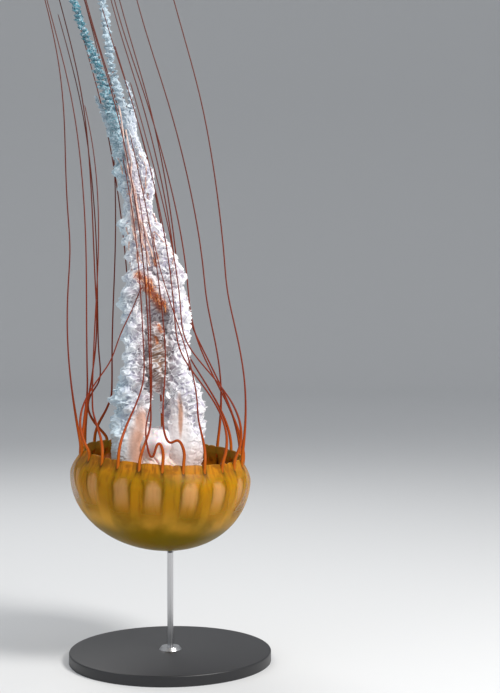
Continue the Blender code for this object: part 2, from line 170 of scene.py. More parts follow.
class Shader:
    """A material made of a Principled shader and the nodes that feed it."""

    def __init__(self, name: str) -> None:
        """Makes the material.

        Args:
            name: The material's name.
        """
        self.material = bpy.data.materials.new(name)
        self.material.use_nodes = True
        self.principled = self.material.node_tree.nodes["Principled BSDF"]

    def _put(self, socket: bpy.types.NodeSocket, value: object) -> None:
        """Links or sets one input.

        Args:
            socket: The input socket.
            value: A signal, an output socket, a colour or a plain value.
        """
        if isinstance(value, Signal):
            value = value.socket
        if isinstance(value, bpy.types.NodeSocket):
            self.material.node_tree.links.new(value, socket)
        elif isinstance(value, (tuple, list)) and socket.type == "RGBA":
            socket.default_value = (*value[:3], 1.0)
        else:
            socket.default_value = value

    def node(
        self, kind: str, settings: dict[str, object], inputs: dict[str | int, object]
    ) -> bpy.types.Node:
        """Adds a node.

        Args:
            kind: The node's type.
            settings: Its properties, which are set first.
            inputs: Values, sockets or signals for its inputs, by name or number.

        Returns:
            The node.
        """
        made = self.material.node_tree.nodes.new(kind)
        for name, value in settings.items():
            setattr(made, name, value)
        for name, value in inputs.items():
            self._put(made.inputs[name], value)
        return made

    def attribute(self, name: str) -> tuple[Signal, Signal, Signal]:
        """The three numbers of a mesh attribute.

        Args:
            name: The attribute's name.

        Returns:
            One signal for each number.
        """
        stored = self.node("ShaderNodeAttribute", {"attribute_name": name}, {})
        parts = self.node("ShaderNodeSeparateXYZ", {}, {0: stored.outputs["Vector"]})
        return tuple(Signal(self, parts.outputs[i]) for i in range(3))

    def noise(self, scale: float, detail: float = 2.0, name: str = "place") -> Signal:
        """Noise from 0 to 1 that is fixed to a mesh attribute.

        Args:
            scale: Repeats per metre.
            detail: Octaves.
            name: The attribute that holds the place of each point.

        Returns:
            The noise.
        """
        stored = self.node("ShaderNodeAttribute", {"attribute_name": name}, {})
        made = self.node(
            "ShaderNodeTexNoise",
            {},
            {"Vector": stored.outputs["Vector"], "Scale": scale, "Detail": detail},
        )
        return Signal(self, made.outputs["Fac"])

    def mix(self, factor: Signal | float, low: object, high: object) -> bpy.types.NodeSocket:
        """A colour between two.

        Args:
            factor: 0 for low and 1 for high.
            low: A colour or a colour socket.
            high: A colour or a colour socket.

        Returns:
            The mixed colour's socket.
        """
        made = self.node("ShaderNodeMix", {"data_type": "RGBA"}, {"Factor": factor})
        colours = [socket for socket in made.inputs if socket.type == "RGBA"]
        self._put(colours[0], low)
        self._put(colours[1], high)
        return next(socket for socket in made.outputs if socket.type == "RGBA")

    def over(self, base: object, *layers: tuple[Signal | float, object]) -> object:
        """A colour with others laid over it in turn.

        Args:
            base: The colour below.
            layers: Each colour above it, as a factor and a colour.

        Returns:
            The last colour's socket, or the base where there are no layers.
        """
        for factor, colour in layers:
            base = self.mix(factor, base, colour)
        return base

    def ramp(self, value: Signal, stops: Sequence[tuple[float, Colour]]) -> bpy.types.NodeSocket:
        """A colour that runs through several stops.

        Args:
            value: Where on the ramp, from 0 to 1.
            stops: Positions and colours.

        Returns:
            The colour's socket.
        """
        made = self.node("ShaderNodeValToRGB", {}, {"Fac": value})
        elements = made.color_ramp.elements
        for index, (position, colour) in enumerate(stops):
            if index >= len(elements):
                elements.new(position)
            elements[index].position = position
            elements[index].color = (*colour, 1.0)
        return made.outputs["Color"]

    def bump(self, height: Signal, distance: float, strength: float = 1.0) -> None:
        """Feeds a bump into the shader's normal.

        Args:
            height: The bump's height, from 0 to 1.
            distance: How high 1 is, in metres.
            strength: How much of the bump is used.
        """
        made = self.node(
            "ShaderNodeBump", {}, {"Height": height, "Distance": distance, "Strength": strength}
        )
        self.set(Normal=made.outputs["Normal"])

    def set(self, **inputs: object) -> None:
        """Sets or links the Principled shader's inputs, with _ for a space in a name."""
        for name, value in inputs.items():
            self._put(self.principled.inputs[name.replace("_", " ")], value)


# ---------------------------------------------------------------------------------------------
# Finishes


@dataclass(frozen=True)
class BellFinish:
    """Amber jelly with pale windows, dark ribs and an orange margin.

    The pigment lies on the inner face and shows through the clear jelly of the outer one. Places
    around the bell, such as those of the ribs, are in octants from the nearest sense organ. Pairs
    named foot, top, fade or edge are heights along the bell's axis from its apex, at which a
    feature is not yet there and fully there. Those of arch_edge are from the windows' arch.
    """

    first_organ: float
    window: Colour = (0.86, 0.50, 0.27)
    window_low: Colour = (0.80, 0.40, 0.10)
    column: Colour = (0.62, 0.27, 0.010)
    streak: Colour = (0.30, 0.105, 0.003)
    rib: Colour = (0.055, 0.012, 0.001)
    margin: Colour = (0.46, 0.160, 0.006)
    brown: Colour = (0.20, 0.070, 0.004)
    shoulder: Colour = (0.52, 0.275, 0.020)
    dome: Colour = (0.26, 0.145, 0.003)
    apex: Colour = (0.20, 0.10, 0.002)
    olive: Colour = (0.17, 0.120, 0.006)
    jelly: Colour = (0.58, 0.260, 0.0015)
    dim: Colour = (0.22, 0.125, 0.0004)
    # painted glow: the warm colour of the glow painted low on the dome
    painted_glow: Colour = (0.80, 0.40, 0.040)
    lining: Colour = (0.40, 0.31, 0.035)
    dome_height: float = 0.1
    window_foot: tuple[float, float] = (0.056, 0.084)
    window_side: tuple[float, float] = (1.14, 0.84)
    window_arch: float = 0.1100
    arch_drop: float = 0.015
    arch_edge: tuple[float, float] = (0.0035, -0.0050)
    low_window_fade: tuple[float, float] = (0.095, 0.066)
    streak_foot: tuple[float, float] = (0.055, 0.085)
    margin_foot: tuple[float, float] = (0.108, 0.1165)
    mottle_foot: tuple[float, float] = (0.098, 0.110)
    lining_foot: tuple[float, float] = (0.106, 0.117)
    rib_places: tuple[float, float] = (0.128, 0.392)
    rib_roots: tuple[float, float] = (0.150, 0.480)
    rib_bend: tuple[float, float] = (0.098, 0.121)
    rib_foot: tuple[float, float] = (0.046, 0.080)
    rib_fade: tuple[float, float] = (0.070, 0.100)
    rib_top: tuple[float, float] = (0.128, 0.118)
    rib_half_width: float = 0.038
    halo_half_width: float = 0.095
    tentacle_roots: tuple[float, float] = (0.155, 0.5)
    root_foot: tuple[float, float] = (0.102, 0.118)
    root_half_width: float = 0.034
    organ_height: float = 0.1085
    organ_half_size: tuple[float, float] = (0.060, 0.0065)
    organ_core: tuple[float, float] = (0.020, 0.0025)
    dim_foot: tuple[float, float] = (0.080, 0.038)
    # the height and half width of the band of painted glow
    painted_highlight_height: tuple[float, float] = (0.056, 0.026)
    thin_foot: tuple[float, float] = (0.040, 0.074)
    clear_edge: tuple[float, float] = (0.123, 0.106)
    clearness: float = 0.58
    edge_clearness: float = 0.12

    def _windows(
        self, shader: Shader, across: Signal, height: Signal, fine: Signal, blotch: Signal
    ) -> tuple[Signal, bpy.types.NodeSocket]:
        """The arched windows between the ribs.

        Args:
            shader: The bell's shader.
            across: 0 in the middle between two ribs and 1 on them.
            height: The height along the bell's axis.
            fine: Streaks that run up the bell.
            blotch: A soft unevenness.

        Returns:
            Where the windows are, and the socket of their colour.
        """
        arch_top = self.window_arch - (across**2.2) * self.arch_drop + (blotch - 0.5) * 0.006
        arch = (height - arch_top).step(*self.arch_edge)
        foot = (height + (blotch - 0.5) * 0.022).step(*self.window_foot)
        pane = shader.over(
            self.window,
            (height.step(*self.low_window_fade), self.window_low),
            (fine.step(0.48, 0.75) * 0.35, self.streak),
        )
        return across.step(*self.window_side) * arch * foot, pane

    def _pigment(
        self, shader: Shader, near: Signal, height: Signal, fine: Signal, blotch: Signal
    ) -> tuple[bpy.types.NodeSocket, Signal]:
        """The pattern of the inner face.

        Args:
            shader: The bell's shader.
            near: The share of an octant between each point and the nearest sense organ.
            height: The height along the bell's axis.
            fine: Streaks that run up the bell.
            blotch: A soft unevenness.

        Returns:
            The colour's socket, and where the ribs are.
        """
        wobble = (shader.noise(48.0, 2.0) - 0.5) * 0.06
        converge = height.step(*self.rib_bend)
        inner, outer = (
            place + converge * (root - place) + shift
            for place, root, shift in zip(self.rib_places, self.rib_roots, (wobble, 0.0 - wobble))
        )
        across = ((near - (inner + outer) * 0.5) / ((outer - inner) * 0.5)).size()
        window, pane = self._windows(shader, across, height, fine, blotch)
        dome = shader.ramp(
            height / self.dome_height,
            [(0.0, self.apex), (0.28, self.dome), (0.48, self.shoulder), (0.66, self.column)],
        )
        band = height.step(*self.margin_foot)
        mottle = shader.noise(75.0, 3.0).step(0.44, 0.64) * height.step(*self.mottle_foot)
        mottle = mottle.at_least(fine.step(0.46, 0.66) * band * 0.9)
        fade = height.step(*self.rib_foot) * (0.45 + 0.55 * height.step(*self.rib_fade))
        halo = near.ridges((inner, outer), self.halo_half_width) * fade
        rib = near.ridges((inner, outer), self.rib_half_width) * fade * height.step(*self.rib_top)
        root = near.ridges(self.tentacle_roots, self.root_half_width)
        root = root * height.step(*self.root_foot)
        organ, organ_core = (
            near.ridge(0.0, wide) * height.ridge(self.organ_height, tall)
            for wide, tall in (self.organ_half_size, self.organ_core)
        )
        colour = shader.over(
            dome,
            (fine.step(0.50, 0.72) * height.step(*self.streak_foot) * 0.75, self.streak),
            (window * 0.92, pane),
            (band, shader.mix(blotch * 0.7, self.margin, self.column)),
            (mottle * 0.75, self.brown),
            (halo * 0.50, self.olive),
            (rib * (0.70 + 0.60 * blotch), self.rib),
            (root * 0.9, self.rib),
            (organ * (0.35 + blotch), self.rib),
            (organ_core, self.margin),
        )
        return colour, rib

    def _jelly(self, shader: Shader, height: Signal, fine: Signal) -> bpy.types.NodeSocket:
        """The tint of the clear outer face, with a painted glow in patches low on the dome.

        Args:
            shader: The bell's shader.
            height: The height along the bell's axis.
            fine: Streaks that run up the bell.

        Returns:
            The colour's socket.
        """
        cloud = shader.noise(14.0, 2.0).step(0.34, 0.72)
        # painted highlight: warm glow painted in patches in a band low on the dome
        painted_highlight = height.ridge(*self.painted_highlight_height) * shader.noise(20.0, 3.0).step(0.36, 0.68)
        return shader.over(
            self.jelly,
            (height.step(*self.dim_foot), self.dim),
            (fine.step(0.50, 0.74) * height.step(0.05, 0.08) * 0.6, self.streak),
            (cloud * 0.55, self.olive),
            (painted_highlight * 0.75, self.painted_glow),
        )

    def material(self) -> bpy.types.Material:
        """Builds the bell's material.

        Returns:
            The material, which reads the attributes place, streaks and wall.
        """
        shader = Shader("bell_jelly")
        x, y, height = shader.attribute("place")
        wall, _, edge = shader.attribute("wall")
        near = ((x.angle_from(0.0 - y) - self.first_organ) / (math.tau / 8)).fold(0.5)
        blotch = shader.noise(38.0, 3.0)
        fine = shader.noise(1.0, 3.0, "streaks")
        pigment, rib = self._pigment(shader, near, height, fine, blotch)
        inside = wall * height.step(*self.lining_foot) * (0.50 + 0.50 * blotch)
        clear = (1.0 - wall) * height.step(*self.clear_edge)
        beside = near.step(0.07, 0.13) * near.step(0.46, 0.41)
        thin = (0.10 + 0.90 * height.step(*self.thin_foot)) * (0.58 + 0.42 * beside)
        shader.set(
            Base_Color=shader.over(
                pigment, (inside, self.lining), (clear, self._jelly(shader, height, fine))
            ),
            Roughness=0.34 + blotch * 0.14,
            Alpha=1.0 - clear * thin * self.clearness - edge * self.edge_clearness,
            Subsurface_Weight=0.20,
            Subsurface_Scale=0.01,
            IOR=JELLY_IOR,
            Specular_IOR_Level=0.18,
        )
        shader.bump(blotch * 0.5 + rib * 0.6, 0.0006, 0.5)
        return shader.material


@dataclass(frozen=True)
class ManubriumFinish:
    """Peach jelly that pales upward into the arms."""

    low: Colour = (0.74, 0.40, 0.22)
    middle: Colour = (0.80, 0.55, 0.42)
    high: Colour = (0.86, 0.80, 0.82)
    strand: Colour = (0.62, 0.20, 0.06)

    def material(self, foot: float, top: float) -> bpy.types.Material:
        """Builds the material.

        Args:
            foot: Height of the pillar's foot.
            top: Height of the web's top.

        Returns:
            The material, which reads the attributes place and tint.
        """
        shader = Shader("manubrium_jelly")
        _, _, height = shader.attribute("place")
        fold, _, _ = shader.attribute("tint")
        blotch = shader.noise(60.0, 3.0)
        rise = (height - foot) / (top - foot)
        colour = shader.ramp(rise, [(0.0, self.low), (0.62, self.middle), (0.88, self.high)])
        colour = shader.mix(fold * blotch * 0.2, colour, self.strand)
        shader.set(
            Base_Color=colour,
            Roughness=0.3 + blotch * 0.15,
            Subsurface_Weight=0.3,
            Subsurface_Scale=0.03,
            IOR=JELLY_IOR,
        )
        return shader.material


@dataclass(frozen=True)
class ArmFinish:
    """White frills that are peach along their roots and bluish far up, with shade painted into their
    creases and onto their left side, and a faint painted glow.
    """

    frill: Colour = (0.93, 0.93, 0.95)
    shade: Colour = (0.46, 0.43, 0.53)
    root: Colour = (0.54, 0.26, 0.155)
    tan: Colour = (0.28, 0.17, 0.11)
    strand: Colour = (0.42, 0.085, 0.02)
    orange: Colour = (0.80, 0.33, 0.11)
    far: Colour = (0.38, 0.47, 0.53)
    teal: Colour = (0.045, 0.21, 0.27)
    # painted shade: the bluish grey laid over the frills' left side, the side turned from the key
    # light
    painted_left_shade: Colour = (0.46, 0.62, 0.70)
    # painted glow: how strongly the frills give off their own colour, which lightens their shade
    painted_glow: float = 0.06
    tan_place: tuple[float, float] = (-0.016, 0.130)
    tan_reach: tuple[float, float] = (0.038, 0.105)
    # where the left side's painted shade begins and where it is full, in x
    painted_left_shade_x: tuple[float, float] = (-0.036, -0.074)
    far_start: tuple[float, float] = (0.28, 0.54)

    def material(self, name: str, margin: float, distant: float) -> bpy.types.Material:
        """Builds the material.

        Args:
            name: The material's name.
            margin: Height of the bell's margin.
            distant: How teal the arm's far end is, from 0 to 1.

        Returns:
            The material, which reads the attributes place and tint.
        """
        shader = Shader(name)
        x, _, height = shader.attribute("place")
        edge, streak, blush = shader.attribute("tint")
        above = height - margin
        blotch = shader.noise(70.0, 3.0)
        grain = shader.noise(420.0, 2.0)
        tangle = shader.noise(190.0, 3.0)
        zone = shader.noise(24.0, 2.0).step(0.46, 0.66) * 0.4
        tan_x, tan_height = (
            signal.ridge(place, reach)
            for signal, place, reach in zip((x, above), self.tan_place, self.tan_reach)
        )
        zone = zone.at_least(tan_x * tan_height)
        # painted shade in the creases, tan where the tan zone is; the pale crests go over it
        crease_shade_and_tan = shader.mix(zone * above.step(0.34, 0.20), self.shade, self.tan)
        far = above.step(*self.far_start)
        stain = shader.mix(tangle.step(0.44, 0.54), self.orange, self.strand)
        colour = shader.over(
            crease_shade_and_tan,
            ((edge - zone * 0.34).step(0.0, 0.72), self.frill),
            # painted shade in fine specks
            (grain.step(0.45, 0.75) * 0.18, self.shade),
            ((blush * 0.9).at_least(above.step(0.034, -0.004) * 0.40), self.root),
            # painted shade on the left side
            (x.step(*self.painted_left_shade_x) * 0.70, self.painted_left_shade),
            (far * 0.6, self.far),
            (far * grain.step(0.66, 0.40) * distant, self.teal),
            (streak * (blotch + tangle).step(0.62, 0.96), stain),
        )
        shader.set(
            Base_Color=colour,
            Roughness=0.42,
            # painted glow: the frills give off a little of their own colour
            Emission_Color=colour,
            Emission_Strength=self.painted_glow,
            IOR=JELLY_IOR,
            Specular_IOR_Level=0.2,
        )
        shader.bump(grain, 0.0005, 0.6)
        return shader.material


@dataclass(frozen=True)
class TentacleFinish:
    """Bright orange roots that darken to maroon along the tentacle, with shade painted along their
    sides near the root.
    """

    stops: tuple[tuple[float, Colour], ...] = (
        (0.0, (0.56, 0.15, 0.006)),
        (0.045, (0.42, 0.075, 0.008)),
        (0.11, (0.22, 0.030, 0.010)),
        (0.50, (0.135, 0.022, 0.012)),
        (1.0, (0.12, 0.034, 0.022)),
    )
    # dark red-brown, laid as painted shade along the sides near the root and at random in blotches
    line: Colour = (0.16, 0.02, 0.008)
    reach: float = 0.8

    def material(self) -> bpy.types.Material:
        """Builds the material.

        Returns:
            The material, which reads the attributes place and tint.
        """
        shader = Shader("tentacle_jelly")
        distance, side, _ = shader.attribute("tint")
        blotch = shader.noise(160.0, 2.0)
        colour = shader.over(
            shader.ramp(distance / self.reach, self.stops),
            # painted shade along the sides near the root
            (side * distance.step(0.3, 0.0) * 0.6, self.line),
            ((blotch - 0.5).size() * 0.6, self.line),
        )
        shader.set(Base_Color=colour, Roughness=0.35, IOR=JELLY_IOR, Specular_IOR_Level=0.15)
        return shader.material


@dataclass(frozen=True)
class PlainFinish:
    """One colour and gloss all over."""

    name: str
    colour: Colour
    roughness: float
    metallic: float = 0.0

    def material(self) -> bpy.types.Material:
        """Builds the material.

        Returns:
            The material.
        """
        shader = Shader(self.name)
        shader.set(Base_Color=self.colour, Roughness=self.roughness, Metallic=self.metallic)
        return shader.material


class StandFinish(enum.Enum):
    """The finishes of the stand and of the floor under it."""

    BASE = PlainFinish("stand_black", (0.018, 0.018, 0.02), 0.42)
    ROD = PlainFinish("stand_steel", (0.56, 0.56, 0.57), 0.28, 1.0)
    FLOOR = PlainFinish("floor_pale", (0.70, 0.71, 0.72), 0.9)


# ---------------------------------------------------------------------------------------------
# Meshes


@dataclass
class Surface:
    """Grids of points that are gathered into one mesh."""

    points: list[np.ndarray] = field(default_factory=list)
    faces: list[np.ndarray] = field(default_factory=list)
    layers: dict[str, list[np.ndarray]] = field(default_factory=dict)
    count: int = 0

    def add(self, grid: np.ndarray, closed: bool, **layers: np.ndarray) -> None:
        """Adds a grid of four-sided faces.

        Args:
            grid: Points, rows by columns by 3.
            closed: Whether the last column joins the first.
            **layers: Attributes, each rows by columns by 3.
        """
        rows, columns = grid.shape[:2]
        index = self.count + np.arange(rows * columns).reshape(rows, columns)
        if closed:
            index = np.concatenate([index, index[:, :1]], axis=1)
        quads = np.stack([index[:-1, :-1], index[:-1, 1:], index[1:, 1:], index[1:, :-1]], axis=-1)
        self.points.append(grid.reshape(-1, 3))
        self.faces.append(quads.reshape(-1, 4))
        for name, values in layers.items():
            self.layers.setdefault(name, []).append(
                np.broadcast_to(values, grid.shape).reshape(-1, 3)
            )
        self.count += rows * columns

    def _weld(self, mesh: bpy.types.Mesh) -> None:
        """Joins points that lie on each other, such as a pole's.

        Args:
            mesh: The mesh, which is changed.
        """
        work = bmesh.new()
        work.from_mesh(mesh)
        bmesh.ops.remove_doubles(work, verts=work.verts, dist=1e-6)
        work.to_mesh(mesh)
        work.free()

    def build(
        self, name: str, finish: bpy.types.Material, weld: bool = False
    ) -> bpy.types.Object:
        """Makes the object.

        Args:
            name: The object's name.
            finish: Its material.
            weld: Whether points that lie on each other are joined.

        Returns:
            The object, shaded smooth.
        """
        mesh = bpy.data.meshes.new(name)
        points = np.concatenate(self.points)
        mesh.from_pydata(points.tolist(), [], np.concatenate(self.faces).tolist())
        for layer, parts in self.layers.items():
            stored = mesh.attributes.new(layer, "FLOAT_VECTOR", "POINT")
            stored.data.foreach_set("vector", np.concatenate(parts).astype(np.float32).ravel())
        if weld:
            self._weld(mesh)
        mesh.validate()
        mesh.shade_smooth()
        mesh.materials.append(finish)
        made = bpy.data.objects.new(name, mesh)
        bpy.context.collection.objects.link(made)
        return made


def report(piece: bpy.types.Object, nodes: Sequence[str]) -> None:
    """Fixes a finished piece to the model and logs it.

    Args:
        piece: The piece.
        nodes: The nodes that the piece stands for.
    """
    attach(piece, BODY)
    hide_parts(*nodes)
    log.info("%s: %d faces for %s", piece.name, len(piece.data.polygons), ", ".join(nodes))


def rings_of(node: str, sides: int, near: np.ndarray | None = None) -> np.ndarray:
    """The rings of points that a lofted node was made through.

    Args:
        node: The node's name.
        sides: Points in one ring.
        near: A point close to the first ring. Without it the first ring is the lowest.

    Returns:
        Rings by sides by 3, from the first ring to the last.
    """
    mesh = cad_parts[node].data
    flat = np.empty(len(mesh.vertices) * 3, np.float32)
    mesh.vertices.foreach_get("co", flat)
    points, which = np.unique(np.round(flat.reshape(-1, 3), 6), axis=0, return_inverse=True)
    which = which.reshape(-1)
    beside: list[set[int]] = [set() for _ in points]
    for edge in mesh.edges:
        a, b = (int(which[v]) for v in edge.vertices)
        beside[a].add(b)
        beside[b].add(a)
    far = points[:, 2] if near is None else np.linalg.norm(points - near, axis=1)
    ring = [int(i) for i in np.argsort(far)[:sides]]
    rings, seen = [ring], set(ring)
    while True:
        ring = sorted({b for a in ring for b in beside[a]} - seen)
        if not ring:
            break
        rings.append(ring)
        seen.update(ring)
    return np.array([points[r] for r in rings if len(r) == sides], dtype=float)


def smooth_curve(points: np.ndarray, step: float) -> tuple[np.ndarray, np.ndarray]:
    """A smooth curve through points of any dimension, sampled evenly.

    Args:
        points: The points; their first three numbers are the place.
        step: The distance between samples.

    Returns:
        The samples and their distances along the curve.
    """
    lengths = np.linalg.norm(np.diff(points[:, :3], axis=0), axis=1)
    knots = np.concatenate([[0.0], np.cumsum(lengths)])
    slopes = np.gradient(points, knots, axis=0)
    at = np.linspace(0.0, knots[-1], max(2, round(knots[-1] / step)) + 1)
    span = np.clip(np.searchsorted(knots, at, side="right") - 1, 0, len(knots) - 2)
    width = (knots[span + 1] - knots[span])[:, None]
    t = ((at - knots[span])[:, None]) / width
    curve = (
        (2 * t**3 - 3 * t**2 + 1) * points[span]
        + (t**3 - 2 * t**2 + t) * width * slopes[span]
        + (3 * t**2 - 2 * t**3) * points[span + 1]
        + (t**3 - t**2) * width * slopes[span + 1]
    )
    return curve, at


def smoothstep(x: np.ndarray) -> np.ndarray:
    """A smooth step from 0 at 0 to 1 at 1."""
    x = np.clip(x, 0.0, 1.0)
    return x * x * (3 - 2 * x)


def around(columns: int) -> np.ndarray:
    """Even azimuths, once around."""
    return np.linspace(0, math.tau, columns, endpoint=False)


def turned(profile: Sequence[tuple[float, float]], columns: int) -> np.ndarray:
    """The grid of a shape that is turned about the vertical.

    Args:
        profile: Radii and heights, from one end to the other.
        columns: Points around it.

    Returns:
        Points, one row for each radius.
    """
    radii, heights = np.array(profile).T[..., None]
    angle = around(columns)
    return np.stack([radii * np.cos(angle), radii * np.sin(angle), heights + 0 * angle], axis=-1)


def relaxed(line: np.ndarray, ease: np.ndarray, rounds: int) -> np.ndarray:
    """A curve with its corners eased, with both ends kept.

    Args:
        line: Samples of the curve.
        ease: How freely each sample moves, from 0 to 1.
        rounds: How many times each sample moves towards its neighbours.

    Returns:
        The eased samples.
    """
    line = line.copy()
    for _ in range(rounds):
        line[1:-1] += ease[1:-1, None] * ((line[:-2] + line[2:]) / 2 - line[1:-1])
    return line


class Crumple:
    """A smooth unevenness in all three directions."""

    def __init__(self, chance: np.random.Generator, waves: tuple[float, float], count: int) -> None:
        """Draws the waves.

        Args:
            chance: The source of the unevenness.
            waves: The shortest and the longest wave in it.
            count: How many waves are summed.
        """
        ways = chance.normal(size=(count, 3))
        ways /= np.linalg.norm(ways, axis=1, keepdims=True)
        self.vectors = ways * math.tau / chance.uniform(*waves, size=(count, 1))
        self.phases = chance.uniform(0, math.tau, count)
        self.pushes = chance.normal(size=(count, 3)) * math.sqrt(2 / count)

    def at(self, points: np.ndarray) -> np.ndarray:
        """The push at each point, about 1 long."""
        return np.sin(points @ self.vectors.T + self.phases) @ self.pushes


def wander(
    at: np.ndarray, chance: np.random.Generator, waves: tuple[float, float], size: float
) -> np.ndarray:
    """A smooth uneven line.

    Args:
        at: Distances along it.
        chance: The source of the unevenness.
        waves: The shortest and the longest wave in it.
        size: The size of each wave.

    Returns:
        One value for each distance.
    """
    total = np.zeros_like(at)
    for wave in np.geomspace(*waves, 4):
        length = wave * chance.uniform(0.85, 1.15)
        total += np.sin(math.tau * at / length + chance.uniform(0, math.tau))
    return total * size


# ---------------------------------------------------------------------------------------------
# The animal


@dataclass
class Bell:
    """The bell, with its curled margin and its 32 lappets, in the bell's own frame.

    Attributes:
        fullness: The power of the dome's outline, which is rounder than a ball's under 1.
        pigment_radius: The inner face's radius, well inside the clear jelly.
        apex_skew: How far the pole lies aside.
        lappet_foot: How far out the clefts lie, as a share of a lappet's length.
        lappet_roundness: The two powers of a lappet's outline.
        lappet_evenness: The share of a lappet's length that broad and narrow ones have alike.
        lappet_lean: How the lappets lean in: their slope, and how it bends.
        lean: How the bell tips about x and about y.
        clefts: Where one octant's clefts are, in degrees from its sense organ.
        streaks: How finely the streaks lie around the bell and along it.
    """

    radius: float = 0.120
    depth: float = 0.097
    fullness: float = 0.94
    margin_rise: float = 0.022
    margin_radius: float = 0.110
    apex_wall: float = 0.020
    margin_wall: float = 0.0032
    edge_wall: float = 0.0010
    pigment_radius: float = 0.1150
    apex_skew: float = 0.006
    lappet_length: float = 0.011
    lappet_foot: float = 0.78
    lappet_roundness: tuple[float, float] = (3.0, 0.6)
    lappet_evenness: float = 0.82
    lappet_lean: tuple[float, float] = (0.36, 5.0)
    lean: tuple[float, float] = (math.radians(3.0), math.radians(4.0))
    apex_x: float = -0.0188
    first_organ: float = math.radians(11.0)
    clefts: tuple[float, ...] = (0.0, 7.0, 22.5, 38.0)
    octant: float = 45.0
    columns: int = 512
    dome_rows: int = 45
    inner_rows: int = 34
    margin_rows: int = 9
    streaks: tuple[float, float] = (30.0, 45.0)

    def frame(self) -> Matrix:
        """The bell's own frame, with the apex resting where the solid bell's does.

        Returns:
            The frame, from the bell's own to the object's.
        """
        turn = Euler((*self.lean, 0.0)).to_matrix()
        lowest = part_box("bell")[0][2]
        outer = self.outer(around(90))[0].reshape(-1, 3)
        drop = min((turn @ Vector(p)).z for p in outer)
        return Matrix.Translation((self.apex_x, 0.0, lowest - drop)) @ turn.to_4x4()

    def lappet(self, azimuth: np.ndarray) -> np.ndarray:
        """The share of a lappet's length that the margin reaches at each azimuth.

        Args:
            azimuth: The azimuth of each column.

        Returns:
            One share for each azimuth, least in the clefts.
        """
        place = np.degrees(azimuth - self.first_organ) % self.octant
        marks = np.array([*self.clefts, self.octant])
        which = np.clip(np.searchsorted(marks, place, side="right") - 1, 0, len(self.clefts) - 1)
        breadth = marks[which + 1] - marks[which]
        across = 2 * (place - marks[which]) / breadth - 1
        along, tip = self.lappet_roundness
        rounded = (1 - np.abs(across) ** along) ** tip
        evened = self.lappet_evenness + (1 - self.lappet_evenness) * breadth / np.diff(marks).max()
        return self.lappet_foot + (1 - self.lappet_foot) * rounded * evened

    def _skew(self, points: np.ndarray) -> np.ndarray:
        """Pushes the pole of the dome aside.

        Args:
            points: The points, which are changed.

        Returns:
            The same points.
        """
        share = np.clip(1 - points[..., 2] / self.depth, 0, None)
        points[..., 0] += self.apex_skew * share**2
        return points

    def _spun(self, radii: np.ndarray, azimuth: np.ndarray, heights: np.ndarray) -> np.ndarray:
        """The points at these radii and heights, with azimuth 0 at the front."""
        across, through = radii * np.sin(azimuth), -radii * np.cos(azimuth)
        return np.stack([across, through, np.broadcast_to(heights, across.shape)], axis=-1)

    def outer(self, azimuth: np.ndarray) -> tuple[np.ndarray, np.ndarray]:
        """The outer face, from the pole to the lappets' edges.

        Args:
            azimuth: The azimuth of each column.

        Returns:
            The grid of points, and for each row how far it is out on the lappets.
        """
        turn = np.linspace(0.0, 1.0, self.dome_rows) * math.pi / 2
        even = np.ones_like(azimuth)
        radii = (self.radius * np.sin(turn) ** self.fullness)[:, None] * even
        heights = (self.depth * (1 - np.cos(turn)))[:, None] * even
        rise = np.linspace(0.12, 1.0, self.margin_rows)[:, None] * even
        curl = self.radius - (self.radius - self.margin_radius) * rise**1.6
        out = np.linspace(1 / self.margin_rows, 1.0, self.margin_rows)
        reach = out[:, None] * self.lappet_length * self.lappet(azimuth)[None, :]
        slope, bend = self.lappet_lean
        tongue = self.margin_radius - slope * reach - bend * reach**2
        radii = np.concatenate([radii, curl, tongue])
        margin = self.depth + self.margin_rise
        heights = np.concatenate([heights, self.depth + self.margin_rise * rise, margin + reach])
        outness = np.concatenate([np.zeros(self.dome_rows + self.margin_rows), out])
        return self._skew(self._spun(radii, azimuth, heights)), outness

    def inner(self, azimuth: np.ndarray) -> tuple[np.ndarray, np.ndarray]:
        """The inner face, from the lappets' edges to the floor around the manubrium.

        Args:
            azimuth: The azimuth of each column.

        Returns:
            The grid of points, and for each row how far it is out on the lappets.
        """
        outer, outness = self.outer(azimuth)
        rim = outer[self.dome_rows:][::-1]
        outness = outness[self.dome_rows:][::-1]
        wall = self.edge_wall + (self.margin_wall - self.edge_wall) * (1 - outness)
        flat = np.linalg.norm(rim[..., :2], axis=-1, keepdims=True)
        rise = np.clip((rim[..., 2:] - self.depth) / self.margin_rise, 0, 1)
        tuck = 1 - (1 - self.pigment_radius / (self.radius - self.margin_wall)) * (1 - rise) ** 1.3
        rim[..., :2] *= (1 - wall[:, None, None] / flat) * tuck
        turn = np.linspace(1.0, 0.0, self.inner_rows) * math.pi / 2
        radii = (self.pigment_radius * np.sin(turn) ** self.fullness)[:, None]
        heights = (self.apex_wall + (self.depth - self.apex_wall) * (1 - np.cos(turn)))[:, None]
        dome = self._skew(self._spun(radii, azimuth, heights))
        return np.concatenate([rim, dome]), np.concatenate([outness, np.zeros(len(turn))])

    def build(self) -> None:
        """Makes the bell and fixes it to the model."""
        azimuth = around(self.columns)
        outer, out = self.outer(azimuth)
        inner, back = self.inner(azimuth)
        grid = np.concatenate([outer, inner])
        wall = np.zeros_like(grid)
        wall[len(outer):, :, 0] = 1.0
        wall[..., 2] = np.concatenate([out, back])[:, None]
        level, upright = self.streaks
        streaks = np.empty_like(grid)
        streaks[..., 0] = level * np.cos(azimuth)
        streaks[..., 1] = level * np.sin(azimuth)
        streaks[..., 2] = upright * grid[..., 2]
        place, wall, streaks = (layer[:, ::-1] for layer in (grid, wall, streaks))
        surface = Surface()
        surface.add(place, True, place=place, wall=wall, streaks=streaks)
        made = surface.build("bell_skin", BellFinish(self.first_organ).material(), weld=True)
        made.data.transform(self.frame())
        report(made, ["bell"])


